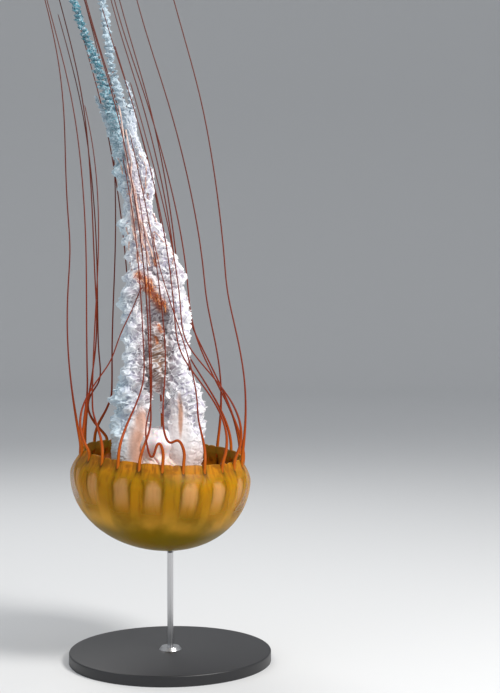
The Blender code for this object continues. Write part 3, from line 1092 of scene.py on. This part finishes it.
@dataclass
class Manubrium:
    """The mouth's pillar with its folds, which flares under the arms, and the web between them.

    The flare is a ring put between the pillar's top and the web's: how far up it is from the one
    to the other, and how wide. Over the shoulder the solid's outline is drawn in, by one share
    across and another through.
    """

    sides: int = 20
    columns: int = 240
    fold_depth: float = 0.0016
    folds: int = 28
    fold_end: tuple[float, float] = (0.270, 0.01)
    fold_rest: float = 0.25
    full_fold_radius: float = 0.03
    web_spread: tuple[float, float, float] = (4.8, 1.42, 1.0)
    pillar_rings: int = 3
    flare: tuple[float, float] = (0.75, 0.96)
    shoulder: float = 0.2615
    shoulder_height: float = 0.008
    above_shoulder: tuple[float, float] = (0.54, 0.78)
    crumple: float = 0.0011
    crumple_waves: tuple[float, float] = (0.010, 0.026)
    crumple_start: float = 0.262
    seed: int = 3
    step: float = 0.002

    def _outlines(self, azimuth: np.ndarray) -> list[tuple[np.ndarray, np.ndarray]]:
        """The solid pillar's rings, with the narrow one at its top spread into a web.

        Args:
            azimuth: The azimuth of each column.

        Returns:
            Each ring's centre and its radius at every azimuth.
        """
        rings = rings_of("manubrium", self.sides)
        outlines = []
        for ring, above in zip(rings, [*rings[1:], None]):
            centre = ring.mean(axis=0)
            if above is not None and above[0, 2] - centre[2] < self.step / 2:
                continue
            away = ring - centre
            is_narrow = np.ptp(ring[:, 0]) < 0.5 * np.ptp(ring[:, 1])
            if is_narrow:
                away *= self.web_spread
            angle = np.arctan2(away[:, 1], away[:, 0])
            order = np.argsort(angle)
            size = np.linalg.norm(away[order, :2], axis=1)
            outlines.append((centre, np.interp(azimuth, angle[order], size, period=math.tau)))
        return outlines

    def _shape(self, azimuth: np.ndarray) -> np.ndarray:
        """The smooth pillar and web, without folds.

        Args:
            azimuth: The azimuth of each column.

        Returns:
            The grid of points.
        """
        outlines = self._outlines(azimuth)
        top = self.pillar_rings
        rise, spread = self.flare
        centre, radius = (
            low + (high - low) * rise for low, high in zip(outlines[top - 1], outlines[top])
        )
        outlines.insert(top, (centre, radius * spread))
        wide = []
        for index, (centre, size) in enumerate(outlines):
            above = smoothstep((centre[2] - self.shoulder) / self.shoulder_height)
            drawn = above if index < top + 2 else 0
            across, through = (1 - (1 - share) * drawn for share in self.above_shoulder)
            ring = np.stack(
                [size * across * np.cos(azimuth), size * through * np.sin(azimuth), 0 * size], axis=-1
            )
            wide.append(np.concatenate([centre, (centre + ring).ravel()]))
        return smooth_curve(np.array(wide), self.step)[0][:, 3:].reshape(-1, self.columns, 3)

    def build(self) -> None:
        """Makes the manubrium and fixes it to the model."""
        azimuth = around(self.columns)
        grid = self._shape(azimuth)
        height = grid[..., 2]
        outward = grid - grid.mean(axis=1, keepdims=True)
        outward[..., 2] = 0
        size = np.linalg.norm(outward, axis=-1, keepdims=True)
        wave = np.sin(self.folds * azimuth)
        end, fall = self.fold_end
        pleated = self.fold_rest + (1 - self.fold_rest) * smoothstep((end - height) / fall)
        depth = self.fold_depth * np.minimum(1.0, size[..., 0] / self.full_fold_radius) * pleated
        fold = (wave * depth - self.fold_depth)[..., None]
        crumpled = self.crumple * smoothstep((height - self.crumple_start) / self.shoulder_height)
        grid = grid + outward / np.maximum(size, 1e-6) * fold
        soft = Crumple(np.random.default_rng(self.seed), self.crumple_waves, 24).at(grid)
        grid += soft * crumpled[..., None]
        tint = np.zeros_like(grid)
        tint[..., 0] = (0.5 - 0.5 * wave) ** 4
        tip = grid[-1:].mean(axis=1, keepdims=True) * np.ones_like(grid[-1:])
        cap = np.concatenate([grid[-1:], tip])
        surface = Surface()
        surface.add(grid, True, place=grid, tint=tint)
        surface.add(cap, True, place=cap, tint=0.0)
        low, high = (corner[2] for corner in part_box("manubrium"))
        made = surface.build("manubrium_skin", ManubriumFinish().material(low, high))
        report(made, ["manubrium"])


@dataclass(frozen=True)
class Stain:
    """An orange streak across the frills, whose ends are an x and a height over the margin."""

    start: tuple[float, float]
    end: tuple[float, float]
    radius: float
    strength: float


@dataclass(frozen=True)
class Patch:
    """A smooth place on an arm's front, with its middle's x and height over the margin."""

    middle: tuple[float, float]
    half_size: tuple[float, float]
    peach: float


@dataclass(frozen=True)
class Bridge:
    """A lump of frill between an arm and its neighbour, whose ends are as a stain's."""

    start: tuple[float, float]
    end: tuple[float, float]
    y: float
    half_size: tuple[float, float]
    blush: float


@dataclass(frozen=True)
class Strand:
    """A thin orange strand, with x, y and height over the margin of each of its bends."""

    orange: float
    bends: tuple[tuple[float, float, float], ...]


@dataclass
class Arm:
    """One oral arm: crumpled sheets around a soft core, over its two solids.

    Shares are of the arm's half size. Waves are lengths, with the shortest and the longest one
    where there are two. Heights are over the margin, apart from the curl's.

    Attributes:
        distant: How teal the arm's far end is, from 0 to 1.
        trim: How far the foot's centre moves away from the side that is slimmed.
        trim_end: Where the trim ends, and over what height it fades out.
        foot_drop: How far the frills reach down past the solid's foot.
        frill_foot: Where the frills begin, and over what height they grow.
        curl: The wave of the thin upper length, and its swing as a share of the radius.
        curl_drift: The wave over which the curl's phase drifts, and by how much.
        curl_radius: The radius from which the arm curls, and how much thinner it is at full curl.
        curl_start: The height over the floor where the curl begins, and over what it grows.
        curl_pinch: How much the curl narrows the arm, how fast that comes and goes, and its lag.
        turns: How often the sheets wind around the core in a metre.
        swing: How far a sheet's waves swing: a length, and a share.
        ribs: Between which heights the strands on the arm's front lie.
    """

    name: str
    seed: int
    margin: float
    distant: float = 0.0
    stains: tuple[Stain, ...] = ()
    patches: tuple[Patch, ...] = ()
    bridges: tuple[Bridge, ...] = ()
    strands: tuple[Strand, ...] = ()
    trim: float = 0.0
    trim_end: tuple[float, float] = (0.098, 0.02)
    sides: int = 8
    step: float = 0.0009
    foot_drop: float = 0.020
    foot_share: float = 0.72
    frill_foot: tuple[float, float] = (0.012, 0.045)
    curl: tuple[float, float] = (0.0088, 0.30)
    curl_drift: tuple[float, float] = (0.031, 1.4)
    curl_radius: tuple[float, float] = (0.0110, 0.004)
    curl_start: tuple[float, float] = (0.70, 0.05)
    curl_pinch: tuple[float, float, float] = (0.55, 1.7, 1.0)
    sheets: int = 6
    across: int = 6
    wave: float = 0.0105
    fullness: float = 1.06
    turns: float = 3.6
    facing_waves: tuple[float, float] = (0.03, 0.16)
    facing_drift: float = 0.18
    lobe_waves: tuple[float, float] = (0.009, 0.040)
    lobe_range: tuple[float, float] = (0.60, 1.24)
    sheet_foot: float = 0.55
    swing: tuple[float, float] = (0.0012, 0.17)
    sheet_crumple: tuple[float, float] = (0.0055, 0.015)
    patch_pull: float = 0.45
    core_share: float = 0.80
    core_columns: int = 128
    core_lobes: tuple[float, float] = (0.018, 0.042)
    fold_waves: tuple[float, float] = (0.0150, 0.0060)
    fold_height: float = 0.0042
    thick_radius: float = 0.0105
    ribs: tuple[float, float] = (0.20, 0.44)
    rib_fade: float = 0.06
    rib_orange: float = 0.62
    rib_radius: float = 0.0010

    def outline(self) -> tuple[np.ndarray, np.ndarray]:
        """The arm's centres and half sizes along its whole length.

        Returns:
            Samples of (x, y, z, half breadth, half depth), and their distances along the arm.
        """
        lower = rings_of(f"{self.name}_lower", self.sides)
        top = lower[-1].mean(axis=0)
        upper = rings_of(f"{self.name}_upper", self.sides, near=top)
        rings = np.concatenate([lower, upper[1:]])
        middle = (rings.max(axis=1) + rings.min(axis=1)) / 2
        half = (rings.max(axis=1) - rings.min(axis=1)) / 2 / math.cos(math.pi / self.sides)
        rings = np.concatenate([middle, half[:, :2]], axis=1)
        foot = rings[0] - (rings[1] - rings[0]) * self.foot_drop / (rings[1] - rings[0])[2]
        foot[3:] = rings[0, 3:] * self.foot_share
        line, at = smooth_curve(np.concatenate([[foot], rings]), self.step)
        line = relaxed(line, np.ones(len(line)), 60)
        end, fade = self.trim_end
        trim = self.trim * smoothstep((self.margin + end - line[:, 2]) / fade)
        line[:, 0] += trim
        line[:, 3] -= np.abs(trim)
        self._curl(line, at)
        return line, at

    def _curl(self, line: np.ndarray, at: np.ndarray) -> None:
        """Winds the thin upper length of an outline.

        Args:
            line: The samples, which are changed.
            at: The distance along the outline of each.
        """
        wave, swing = self.curl
        drift_wave, drift = self.curl_drift
        thick, thinning = self.curl_radius
        start, fade = self.curl_start
        radius = np.sqrt(line[:, 3] * line[:, 4])
        swing = swing * smoothstep((thick - radius) / thinning)
        swing = swing * smoothstep((line[:, 2] - start) / fade)
        phase = math.tau * at / wave + drift * np.sin(math.tau * at / drift_wave)
        line[:, 0] += swing * radius * np.sin(phase)
        line[:, 1] += swing * radius * np.cos(phase)
        pinch, tempo, lag = self.curl_pinch
        line[:, 3:5] *= 1 - (pinch * swing * (1 + np.sin(tempo * phase + lag)))[:, None]

    def _grown(self, line: np.ndarray) -> np.ndarray:
        """How far the frills have grown at each sample of an outline, from 0 to 1."""
        foot, growth = self.frill_foot
        return smoothstep((line[:, 2] - self.margin - foot) / growth)

    def _sheet(
        self, line: np.ndarray, at: np.ndarray, turn: float, chance: np.random.Generator
    ) -> tuple[np.ndarray, np.ndarray]:
        """One crumpled sheet that stands out from the core.

        Args:
            line: The arm's outline.
            at: Distances along it.
            turn: The direction in which the sheet stands out at the foot.
            chance: The source of its unevenness.

        Returns:
            The grid of points and its tint.
        """
        breadth, depth = line[:, 3] * self.fullness, line[:, 4] * self.fullness
        grown = 0.45 + 0.55 * self._grown(line)
        facing = turn + wander(at, chance, self.facing_waves, self.facing_drift)
        facing += at * math.tau * self.turns
        lobes = np.clip(0.94 + wander(at, chance, self.lobe_waves, 0.10) * grown, *self.lobe_range)
        swing = (self.swing[0] + self.swing[1] * breadth) * grown
        phases = [
            math.tau * at / wave + wander(at, chance, (wave * 1.5, 0.06), 0.8)
            for wave in (self.wave, self.wave * 0.47, self.wave * 0.9, self.wave * 0.41)
        ]
        out = np.linspace(0.0, 1.0, self.across) ** 0.85
        slant = out * 1.7 * np.sin(phases[2] * 0.31)[:, None]
        broad = np.sin(phases[0][:, None] + slant)
        fine = np.sin(phases[1][:, None] - 1.3 * slant)
        sideways = swing[:, None] * (out**1.1 * broad + 0.30 * out**1.9 * fine)
        share = self.sheet_foot + (lobes[:, None] - self.sheet_foot) * out
        share = share + 0.035 * out**2 * np.sin(phases[3])[:, None] * grown[:, None]
        round_size = np.sqrt(breadth * depth)[:, None]
        angle = facing[:, None] + sideways / (np.maximum(share, 0.35) * round_size)
        grid = np.empty((len(at), len(out), 3))
        grid[..., 0] = line[:, 0, None] + breadth[:, None] * share * np.cos(angle)
        grid[..., 1] = line[:, 1, None] + depth[:, None] * share * np.sin(angle)
        grid[..., 2] = line[:, 2, None] + swing[:, None] * 0.5 * out * np.sin(phases[2])[:, None]
        crumple = Crumple(chance, self.sheet_crumple, 18)
        size = 0.00035 + 0.03 * breadth * grown
        grid += crumple.at(grid) * size[:, None, None] * out[:, None]
        bare, blush = self._bareness(grid)
        pulled_in = (self.patch_pull * bare)[..., None]
        grid[..., :2] += (line[:, None, :2] - grid[..., :2]) * pulled_in
        tint = np.zeros_like(grid)
        # painted shade: sheets pale towards their edges, darker in towards the core and at the foot
        tint[..., 0] = (0.35 + 0.65 * out) * (0.65 + 0.35 * grown[:, None])
        tint[..., 2] = blush
        return grid, tint

    def _core(self, line: np.ndarray, chance: np.random.Generator) -> tuple[np.ndarray, np.ndarray]:
        """The gathered mass of frills that the sheets stand out from.

        Args:
            line: The arm's outline.
            chance: The source of its unevenness.

        Returns:
            The grid of points and its tint.
        """
        grown = self._grown(line)
        part_grown = 0.45 + 0.55 * grown
        radius = np.sqrt(line[:, 3] * line[:, 4])
        share = self.core_share + (1 - grown) * 0.20
        core = self._tube(line, line[:, 3:5] * share[:, None], self.core_columns)
        outward = core - line[:, None, :3]
        outward /= np.maximum(np.linalg.norm(outward, axis=-1, keepdims=True), 1e-6)
        broad, fine = (
            Crumple(chance, (wave * 0.85, wave * 1.15), 26).at(core) for wave in self.fold_waves
        )
        thick = smoothstep((radius - 0.004) / 0.007)[:, None]
        lump = np.clip(np.abs(broad[..., 0]) / 1.1, 0, 1) ** 0.6
        crest = np.clip(1 - np.abs(fine[..., 0]) / 0.85, 0, 1)
        bare, blush = self._bareness(core)
        tall = np.minimum(1.0, (radius + 0.002) / self.thick_radius) * part_grown
        tall = self.fold_height * tall[:, None] * (1 - 0.8 * bare)
        lobes = Crumple(chance, self.core_lobes, 16).at(core)[..., 0]
        lobes *= (0.20 * radius * grown)[:, None]
        rise = (0.75 * thick * lump + 0.55 * crest) * tall + lobes * (1 - bare)
        core += outward * rise[..., None] + fine * (0.22 * crest * tall)[..., None]
        tint = np.zeros_like(core)
        # painted shade: crests and lump tops pale, the creases between them darker
        pale = 0.45 * thick * lump + (1 - 0.45 * thick) * crest
        pale = 0.6 + (pale - 0.6) * part_grown[:, None]
        tint[..., 0] = pale * (1 - 0.5 * bare) + 0.5 * bare
        tint[..., 2] = blush
        return core, tint

    def _bareness(self, grid: np.ndarray) -> tuple[np.ndarray, np.ndarray]:
        """How bare of frills each point is and how peach, both from 0 to 1.

        Args:
            grid: The points.

        Returns:
            Both shares at every point.
        """
        bare, blush = np.zeros(grid.shape[:-1]), np.zeros(grid.shape[:-1])
        for patch in self.patches:
            away = grid[..., [0, 2]] - np.add(patch.middle, (0.0, self.margin))
            far = np.linalg.norm(away / patch.half_size, axis=-1)
            front = smoothstep(0.5 - grid[..., 1] / 0.02)
            here = smoothstep((1.35 - far) / 0.9) * front
            bare = np.maximum(bare, here)
            blush = np.maximum(blush, here * patch.peach)
        return bare, blush

    def _bridge(self, bridge: Bridge, chance: np.random.Generator) -> tuple[np.ndarray, np.ndarray]:
        """A lump of frill between two points.

        Args:
            bridge: One of the arm's bridges.
            chance: The source of its unevenness.

        Returns:
            The grid of points and its tint.
        """
        (x0, low), (x1, high) = sorted((bridge.start, bridge.end), key=lambda end: end[1])
        share = np.linspace(0, 1, max(12, round((high - low) / self.step)))
        swell = np.sqrt(np.clip(1 - (2 * share - 1) ** 2, 0.02, 1))
        line = np.column_stack([
            x0 + (x1 - x0) * share,
            np.full_like(share, bridge.y),
            self.margin + low + (high - low) * share,
            swell[:, None] * bridge.half_size,
        ])
        grid, tint = self._core(line, chance)
        tint[..., 2] = np.maximum(tint[..., 2], bridge.blush)
        return grid, tint

    def _tube(self, centre: np.ndarray, half: np.ndarray, columns: int) -> np.ndarray:
        """A tube with level, elliptic rings.

        Args:
            centre: The rings' centres.
            half: The half widths of each ring, left to right and front to back.
            columns: Points around it.

        Returns:
            The points, one row for each ring.
        """
        angle = around(columns)
        grid = centre[:, None, :3] + np.zeros((columns, 3))
        grid[..., 0] += half[:, 0, None] * np.cos(angle)
        grid[..., 1] += half[:, 1, None] * np.sin(angle)
        return grid

    def _add(self, surface: Surface, grid: np.ndarray, tint: np.ndarray, closed: bool = True) -> None:
        """Adds a grid of frills to the arm's surface, with the orange streaks on it.

        Args:
            surface: The arm's surface.
            grid: The points.
            tint: How pale each point is, less where shade is painted into the creases, and how orange
                and how peach.
            closed: Whether the last column joins the first.
        """
        for stain in self.stains:
            start, end = np.add([stain.start, stain.end], (0.0, self.margin))
            way = end - start
            place = grid[..., [0, 2]] - start
            share = np.clip((place @ way) / max(way @ way, 1e-12), 0, 1)
            far = np.linalg.norm(place - share[..., None] * way, axis=-1)
            here = stain.strength * smoothstep(1.4 - far / stain.radius)
            tint[..., 1] = np.maximum(tint[..., 1], here)
        surface.add(grid, closed, place=grid, tint=tint)

    def _add_strand(
        self, surface: Surface, path: np.ndarray, radius: np.ndarray | float, orange: float
    ) -> None:
        """Adds one strand to the arm's surface.

        Args:
            surface: The arm's surface.
            path: Points along the strand.
            radius: The strand's radius, or one for each point.
            orange: How orange it is, from 0 to 1.
        """
        half = np.ones((len(path), 2)) * np.reshape(radius, (-1, 1))
        tube = self._tube(path, half, 8)
        surface.add(tube, True, place=tube, tint=np.array((0.8, orange, 0.4)))

    def _add_rib(
        self,
        surface: Surface,
        line: np.ndarray,
        at: np.ndarray,
        side: float,
        chance: np.random.Generator,
    ) -> None:
        """Adds the strand that lies on one side of the arm's front.

        Args:
            surface: The arm's surface.
            line: The arm's outline.
            at: Distances along it.
            side: -1 for the left and 1 for the right.
            chance: The source of its unevenness.
        """
        facing = -math.pi / 2 + side * 0.5 + wander(at, chance, (0.05, 0.2), 0.22)
        height = line[:, 2] - self.margin
        start, end = self.ribs
        shown = smoothstep((height - start) / self.rib_fade)
        shown = shown * smoothstep((end - height) / self.rib_fade)
        out = 0.22 + 0.83 * shown + wander(at, chance, (0.02, 0.07), 0.04)
        rib = line[:, :3].copy()
        rib[:, 0] += line[:, 3] * out * np.cos(facing)
        rib[:, 1] += line[:, 4] * out * np.sin(facing)
        self._add_strand(surface, rib, self.rib_radius * (0.6 + 8 * line[:, 3]), self.rib_orange)

    def build(self) -> None:
        """Makes the arm and fixes it to the model."""
        chance = np.random.default_rng(self.seed)
        line, at = self.outline()
        surface = Surface()
        for sheet in range(self.sheets):
            turn = math.tau * (sheet + chance.uniform(-0.2, 0.2)) / self.sheets
            self._add(surface, *self._sheet(line, at, turn, chance), closed=False)
        self._add(surface, *self._core(line, chance))
        for bridge in self.bridges:
            self._add(surface, *self._bridge(bridge, chance))
        for side in (-1.0, 1.0):
            self._add_rib(surface, line[::3], at[::3], side, chance)
        for strand in self.strands:
            bends = np.add(strand.bends, (0.0, 0.0, self.margin))
            path, along = smooth_curve(bends, 0.002)
            path[:, 0] += wander(along, chance, (0.03, 0.12), 0.0006)
            path[:, 1] += wander(along, chance, (0.02, 0.06), 0.0008)
            radius = self.rib_radius * (1.6 - strand.orange)
            self._add_strand(surface, path, radius, strand.orange)
        finish = ArmFinish().material(f"{self.name}_frill", self.margin, self.distant)
        made = surface.build(f"{self.name}_frills", finish)
        report(made, [f"{self.name}_lower", f"{self.name}_upper"])


@dataclass
class Tentacle:
    """One tentacle: a smooth, slightly flat strand from its cleft to its tip.

    Attributes:
        rounds: How many times the bends are eased.
        slim: The radius, as a share of the solid's.
        flatness: How flat the root is, and over what length the tentacle turns round.
        ease: How freely the bends near the root are eased, and how far from it that holds.
        sunk: How far the root reaches into the bell.
        root_share: The root's radius, as a share of the first ring's.
        tip: The length over which the tip closes.
    """

    number: int
    finish: bpy.types.Material
    lower_sides: int = 5
    upper_sides: int = 4
    step: float = 0.0018
    rounds: int = 90
    columns: int = 10
    slim: float = 0.80
    flatness: tuple[float, float] = (0.16, 0.25)
    ease: tuple[float, float] = (0.07, 0.10)
    sunk: float = 0.006
    root_share: float = 0.7
    tip: float = 0.004

    def _line(self, name: str) -> tuple[np.ndarray, np.ndarray]:
        """The tentacle's course, with its root sunk into the bell and its bends eased.

        Args:
            name: The tentacle's name.

        Returns:
            Samples of (x, y, z, radius), and their distances along the tentacle.
        """
        lower = rings_of(f"{name}_lower", self.lower_sides)
        upper = rings_of(f"{name}_upper", self.upper_sides, near=lower[-1].mean(axis=0))
        centres = np.concatenate([lower.mean(axis=1), upper.mean(axis=1)[1:]])
        radii = np.concatenate([
            np.linalg.norm(rings - rings.mean(axis=1, keepdims=True), axis=-1).mean(axis=1)
            for rings in (lower, upper[1:])
        ])
        start = centres[1] - centres[0]
        root = centres[0] - start / np.linalg.norm(start) * self.sunk
        centres = np.concatenate([[root], centres])
        radii = np.concatenate([[radii[0] * self.root_share], radii])
        line, at = smooth_curve(np.column_stack([centres, radii]), self.step)
        least, reach = self.ease
        ease = least + (1 - least) * smoothstep((at - reach) / reach)
        return relaxed(line, ease, self.rounds), at

    def build(self) -> None:
        """Makes the tentacle and fixes it to the model."""
        name = f"tentacle_{self.number:02d}"
        line, at = self._line(name)
        tangent = np.gradient(line[:, :3], axis=0)
        tangent /= np.linalg.norm(tangent, axis=1, keepdims=True)
        normal = np.cross(tangent, (0.0, -1.0, 0.0))
        normal /= np.linalg.norm(normal, axis=1, keepdims=True)
        side = np.cross(tangent, normal)
        angle = around(self.columns)
        flatness, rounded_at = self.flatness
        flat = flatness * np.clip(1 - at / rounded_at, 0, 1)[:, None]
        tip = np.minimum(1.0, (at[-1] - at + 0.0003) / self.tip)[:, None] ** 0.5
        radius = line[:, 3, None] * self.slim * tip
        across = (radius * (1 + flat) * np.cos(angle))[..., None]
        through = (radius * (1 - flat) * np.sin(angle))[..., None]
        grid = line[:, None, :3] + normal[:, None] * across + side[:, None] * through
        tint = np.zeros_like(grid)
        tint[..., 0] = at[:, None]
        # where the outline's painted shade goes: the tentacle's sides as seen from the front
        tint[..., 1] = np.abs(np.cos(angle)) ** 3
        surface = Surface()
        surface.add(grid, True, place=grid, tint=tint)
        made = surface.build(name, self.finish)
        report(made, [f"{name}_lower", f"{name}_upper"])


# ---------------------------------------------------------------------------------------------
# The stand and the room


@dataclass
class Stand:
    """The round base, and the rod whose dish holds the bell."""

    base_radius: float = 0.135
    base_top: float = 0.014
    bevel: float = 0.002
    rod_radius: float = 0.004
    foot: tuple[float, float] = (0.015, 0.004)
    foot_slope: float = 0.003
    cup: tuple[float, float] = (0.013, 0.006)
    cup_rim: float = 0.0015
    columns: tuple[int, int] = (256, 64)

    def _turned(
        self, name: str, profile: Sequence[tuple[float, float]], finish: StandFinish, columns: int
    ) -> bpy.types.Object:
        """A piece turned about the vertical.

        Args:
            name: The piece's name.
            profile: Radii and heights, from the axis to the axis.
            finish: Its finish.
            columns: Faces around it.

        Returns:
            The piece.
        """
        surface = Surface()
        surface.add(turned(profile, columns), True)
        made = surface.build(name, finish.value.material(), weld=True)
        made.data.set_sharp_from_angle(angle=math.radians(35))
        return made

    def build(self) -> None:
        """Makes the stand and fixes it to the model."""
        radius, top, bevel = self.base_radius, self.base_top, self.bevel
        round_over = [
            (radius - bevel + bevel * math.cos(a), top - bevel + bevel * math.sin(a))
            for a in np.linspace(0, math.pi / 2, 6)
        ]
        base_columns, rod_columns = self.columns
        profile = [(0.0, 0.0), (radius, 0.0), *round_over, (0.0, top)]
        base = self._turned("display_base", profile, StandFinish.BASE, base_columns)
        report(base, ["stand_base"])
        low, high = (corner[2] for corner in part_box("stand_rod"))
        thin = self.rod_radius
        wide, thick = self.foot
        cup_wide, cup_deep = self.cup
        foot = [(0.0, low), (wide, low), (wide - self.foot_slope, low + thick), (thin, low + thick)]
        neck = [
            (thin + (cup_wide - thin) * t**2, high - cup_deep + (cup_deep - self.cup_rim) * t)
            for t in np.linspace(0, 1, 8)
        ]
        profile = [*foot, *neck, (cup_wide, high), (0.0, high)]
        rod = self._turned("display_rod", profile, StandFinish.ROD, rod_columns)
        report(rod, ["stand_rod"])


@dataclass(frozen=True)
class Lamp:
    """A square light, with its place, its side, its power and its colour."""

    name: str
    place: tuple[float, float, float]
    size: float
    power: float
    colour: Colour

    def hang(self, aim: Vector) -> None:
        """Hangs the light.

        Args:
            aim: The point that it faces.
        """
        lamp = bpy.data.lights.new(self.name, "AREA")
        lamp.size, lamp.energy, lamp.color = self.size, self.power, self.colour
        made = bpy.data.objects.new(self.name, lamp)
        made.location = self.place
        made.rotation_euler = (aim - made.location).to_track_quat("-Z", "Y").to_euler()
        bpy.context.collection.objects.link(made)


@dataclass(frozen=True)
class Studio:
    """A round pale floor that curves up into a wall, soft lights, and the camera."""

    target: tuple[float, float, float] = (0.1067, 0.0, 0.42)
    distance: float = 1.8
    elevation: float = math.radians(1.5)
    lens: float = 70.13
    floor_radius: float = 6.0
    sweep_radius: float = 2.0
    wall_top: float = 3.0
    columns: int = 128
    aim: tuple[float, float, float] = (-0.03, 0.0, 0.45)
    lamps: tuple[Lamp, ...] = (
        Lamp("key_light", (1.2, -1.0, 1.7), 0.6, 45.0, (1.0, 0.98, 0.95)),
        Lamp("fill_light", (-1.9, -1.3, 0.9), 1.6, 7.0, (0.88, 0.94, 1.0)),
        Lamp("rim_light", (-0.6, 1.3, 1.8), 1.0, 14.0, (1.0, 0.99, 0.97)),
    )
    world: Colour = (0.80, 0.82, 0.85)
    world_strength: float = 0.56

    def build(self) -> None:
        """Makes the floor, the lights and the camera."""
        self._floor()
        self._lights()
        self._camera()

    def _floor(self) -> None:
        """Lays the floor, which is not part of the object."""
        sweep = self.sweep_radius
        profile = [(0.0, 0.0), (0.3, 0.0), (1.0, 0.0), (self.floor_radius, 0.0)]
        profile += [
            (self.floor_radius + sweep * math.sin(a), sweep - sweep * math.cos(a))
            for a in np.linspace(0.06, math.pi / 2, 20)
        ]
        profile.append((self.floor_radius + sweep, self.wall_top))
        surface = Surface()
        surface.add(turned(profile, self.columns), True)
        surface.build("studio_floor", StandFinish.FLOOR.value.material(), weld=True)

    def _lights(self) -> None:
        """Hangs the lights and sets the world behind them."""
        for lamp in self.lamps:
            lamp.hang(Vector(self.aim))
        world = bpy.data.worlds.new("studio_world")
        world.use_nodes = True
        background = world.node_tree.nodes["Background"]
        background.inputs["Color"].default_value = (*self.world, 1.0)
        background.inputs["Strength"].default_value = self.world_strength
        bpy.context.scene.world = world
        bpy.context.scene.view_settings.view_transform = "Standard"

    def _camera(self) -> None:
        """Sets up the camera."""
        forward = Vector((0.0, math.cos(self.elevation), -math.sin(self.elevation)))
        lens = bpy.data.cameras.new("studio_camera")
        lens.lens, lens.sensor_width = self.lens, 36.0
        made = bpy.data.objects.new("studio_camera", lens)
        made.location = Vector(self.target) - forward * self.distance
        made.rotation_euler = forward.to_track_quat("-Z", "Y").to_euler()
        bpy.context.collection.objects.link(made)
        bpy.context.scene.camera = made


# ---------------------------------------------------------------------------------------------
# The whole scene


def arms() -> list[Arm]:
    """The four oral arms, each with the features that it alone has.

    Returns:
        The arms, from the front left one to the back right one.
    """
    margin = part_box("arm_front_left_lower")[0][2]
    stains = (
        Stain((-0.040, 0.238), (-0.026, 0.228), 0.0070, 0.70),
        Stain((-0.028, 0.223), (-0.009, 0.194), 0.0082, 0.88),
        Stain((-0.020, 0.262), (-0.018, 0.252), 0.0028, 0.90),
        Stain((-0.014, 0.172), (-0.010, 0.164), 0.0026, 0.85),
        Stain((-0.018, 0.156), (-0.016, 0.150), 0.0024, 0.80),
    )
    front_left = Arm(
        "arm_front_left", 5, margin, 0.95, stains,
        patches=(
            Patch((-0.041, 0.014), (0.014, 0.034), 1.0),
            Patch((-0.037, 0.046), (0.010, 0.018), 0.9),
        ),
    )
    front_right = Arm(
        "arm_front_right", 6, margin, 0.0, stains,
        patches=(
            Patch((0.014, 0.026), (0.016, 0.048), 0.20),
            Patch((0.016, 0.052), (0.0034, 0.030), 1.0),
        ),
        bridges=(
            Bridge((-0.036, 0.248), (-0.004, 0.196), -0.015, (0.0150, 0.0115), 0.15),
            Bridge((-0.018, 0.178), (-0.010, 0.080), -0.012, (0.0160, 0.0120), 0.12),
            Bridge((-0.020, 0.226), (-0.057, 0.420), -0.005, (0.0085, 0.0085), 0.16),
        ),
        strands=(
            Strand(0.42, ((-0.066, -0.011, 0.462), (-0.055, -0.015, 0.386), (-0.043, -0.020, 0.280))),
            Strand(0.42, ((-0.056, -0.012, 0.430), (-0.046, -0.016, 0.350), (-0.034, -0.021, 0.268))),
            Strand(0.42, ((-0.053, -0.013, 0.380), (-0.041, -0.017, 0.320), (-0.026, -0.021, 0.250))),
            Strand(0.42, ((-0.045, -0.014, 0.340), (-0.034, -0.018, 0.300), (-0.020, -0.021, 0.262))),
            Strand(0.42, ((-0.052, -0.014, 0.350), (-0.048, -0.017, 0.310), (-0.040, -0.021, 0.246))),
            Strand(1.0, (
                (-0.047, -0.025, 0.234), (-0.039, -0.029, 0.242), (-0.031, -0.029, 0.229),
                (-0.025, -0.030, 0.233), (-0.018, -0.030, 0.215), (-0.012, -0.030, 0.212),
                (-0.006, -0.028, 0.196),
            )),
            Strand(1.0, (
                (-0.041, -0.028, 0.230), (-0.033, -0.029, 0.222), (-0.027, -0.030, 0.226),
                (-0.021, -0.030, 0.208), (-0.016, -0.030, 0.214), (-0.009, -0.029, 0.199),
                (-0.004, -0.027, 0.204),
            )),
            Strand(1.0, (
                (-0.031, -0.029, 0.237), (-0.026, -0.030, 0.218), (-0.019, -0.030, 0.224),
                (-0.014, -0.030, 0.203), (-0.008, -0.029, 0.207), (-0.003, -0.027, 0.190),
            )),
        ),
        trim=0.0028,
    )
    back_left = Arm("arm_back_left", 7, margin, 0.0, stains)
    back_right = Arm("arm_back_right", 8, margin, 0.0, stains)
    return [front_left, front_right, back_left, back_right]


def main() -> None:
    """Builds the animal, its stand and the studio."""
    logging.basicConfig(level=logging.INFO, format="%(name)s: %(message)s")
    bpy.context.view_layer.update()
    Stand().build()
    Bell().build()
    Manubrium().build()
    for arm in arms():
        arm.build()
    tentacle_finish = TentacleFinish().material()
    for number in range(1, TENTACLES + 1):
        Tentacle(number, tentacle_finish).build()
    Studio().build()


if __name__ == "__main__":
    main()
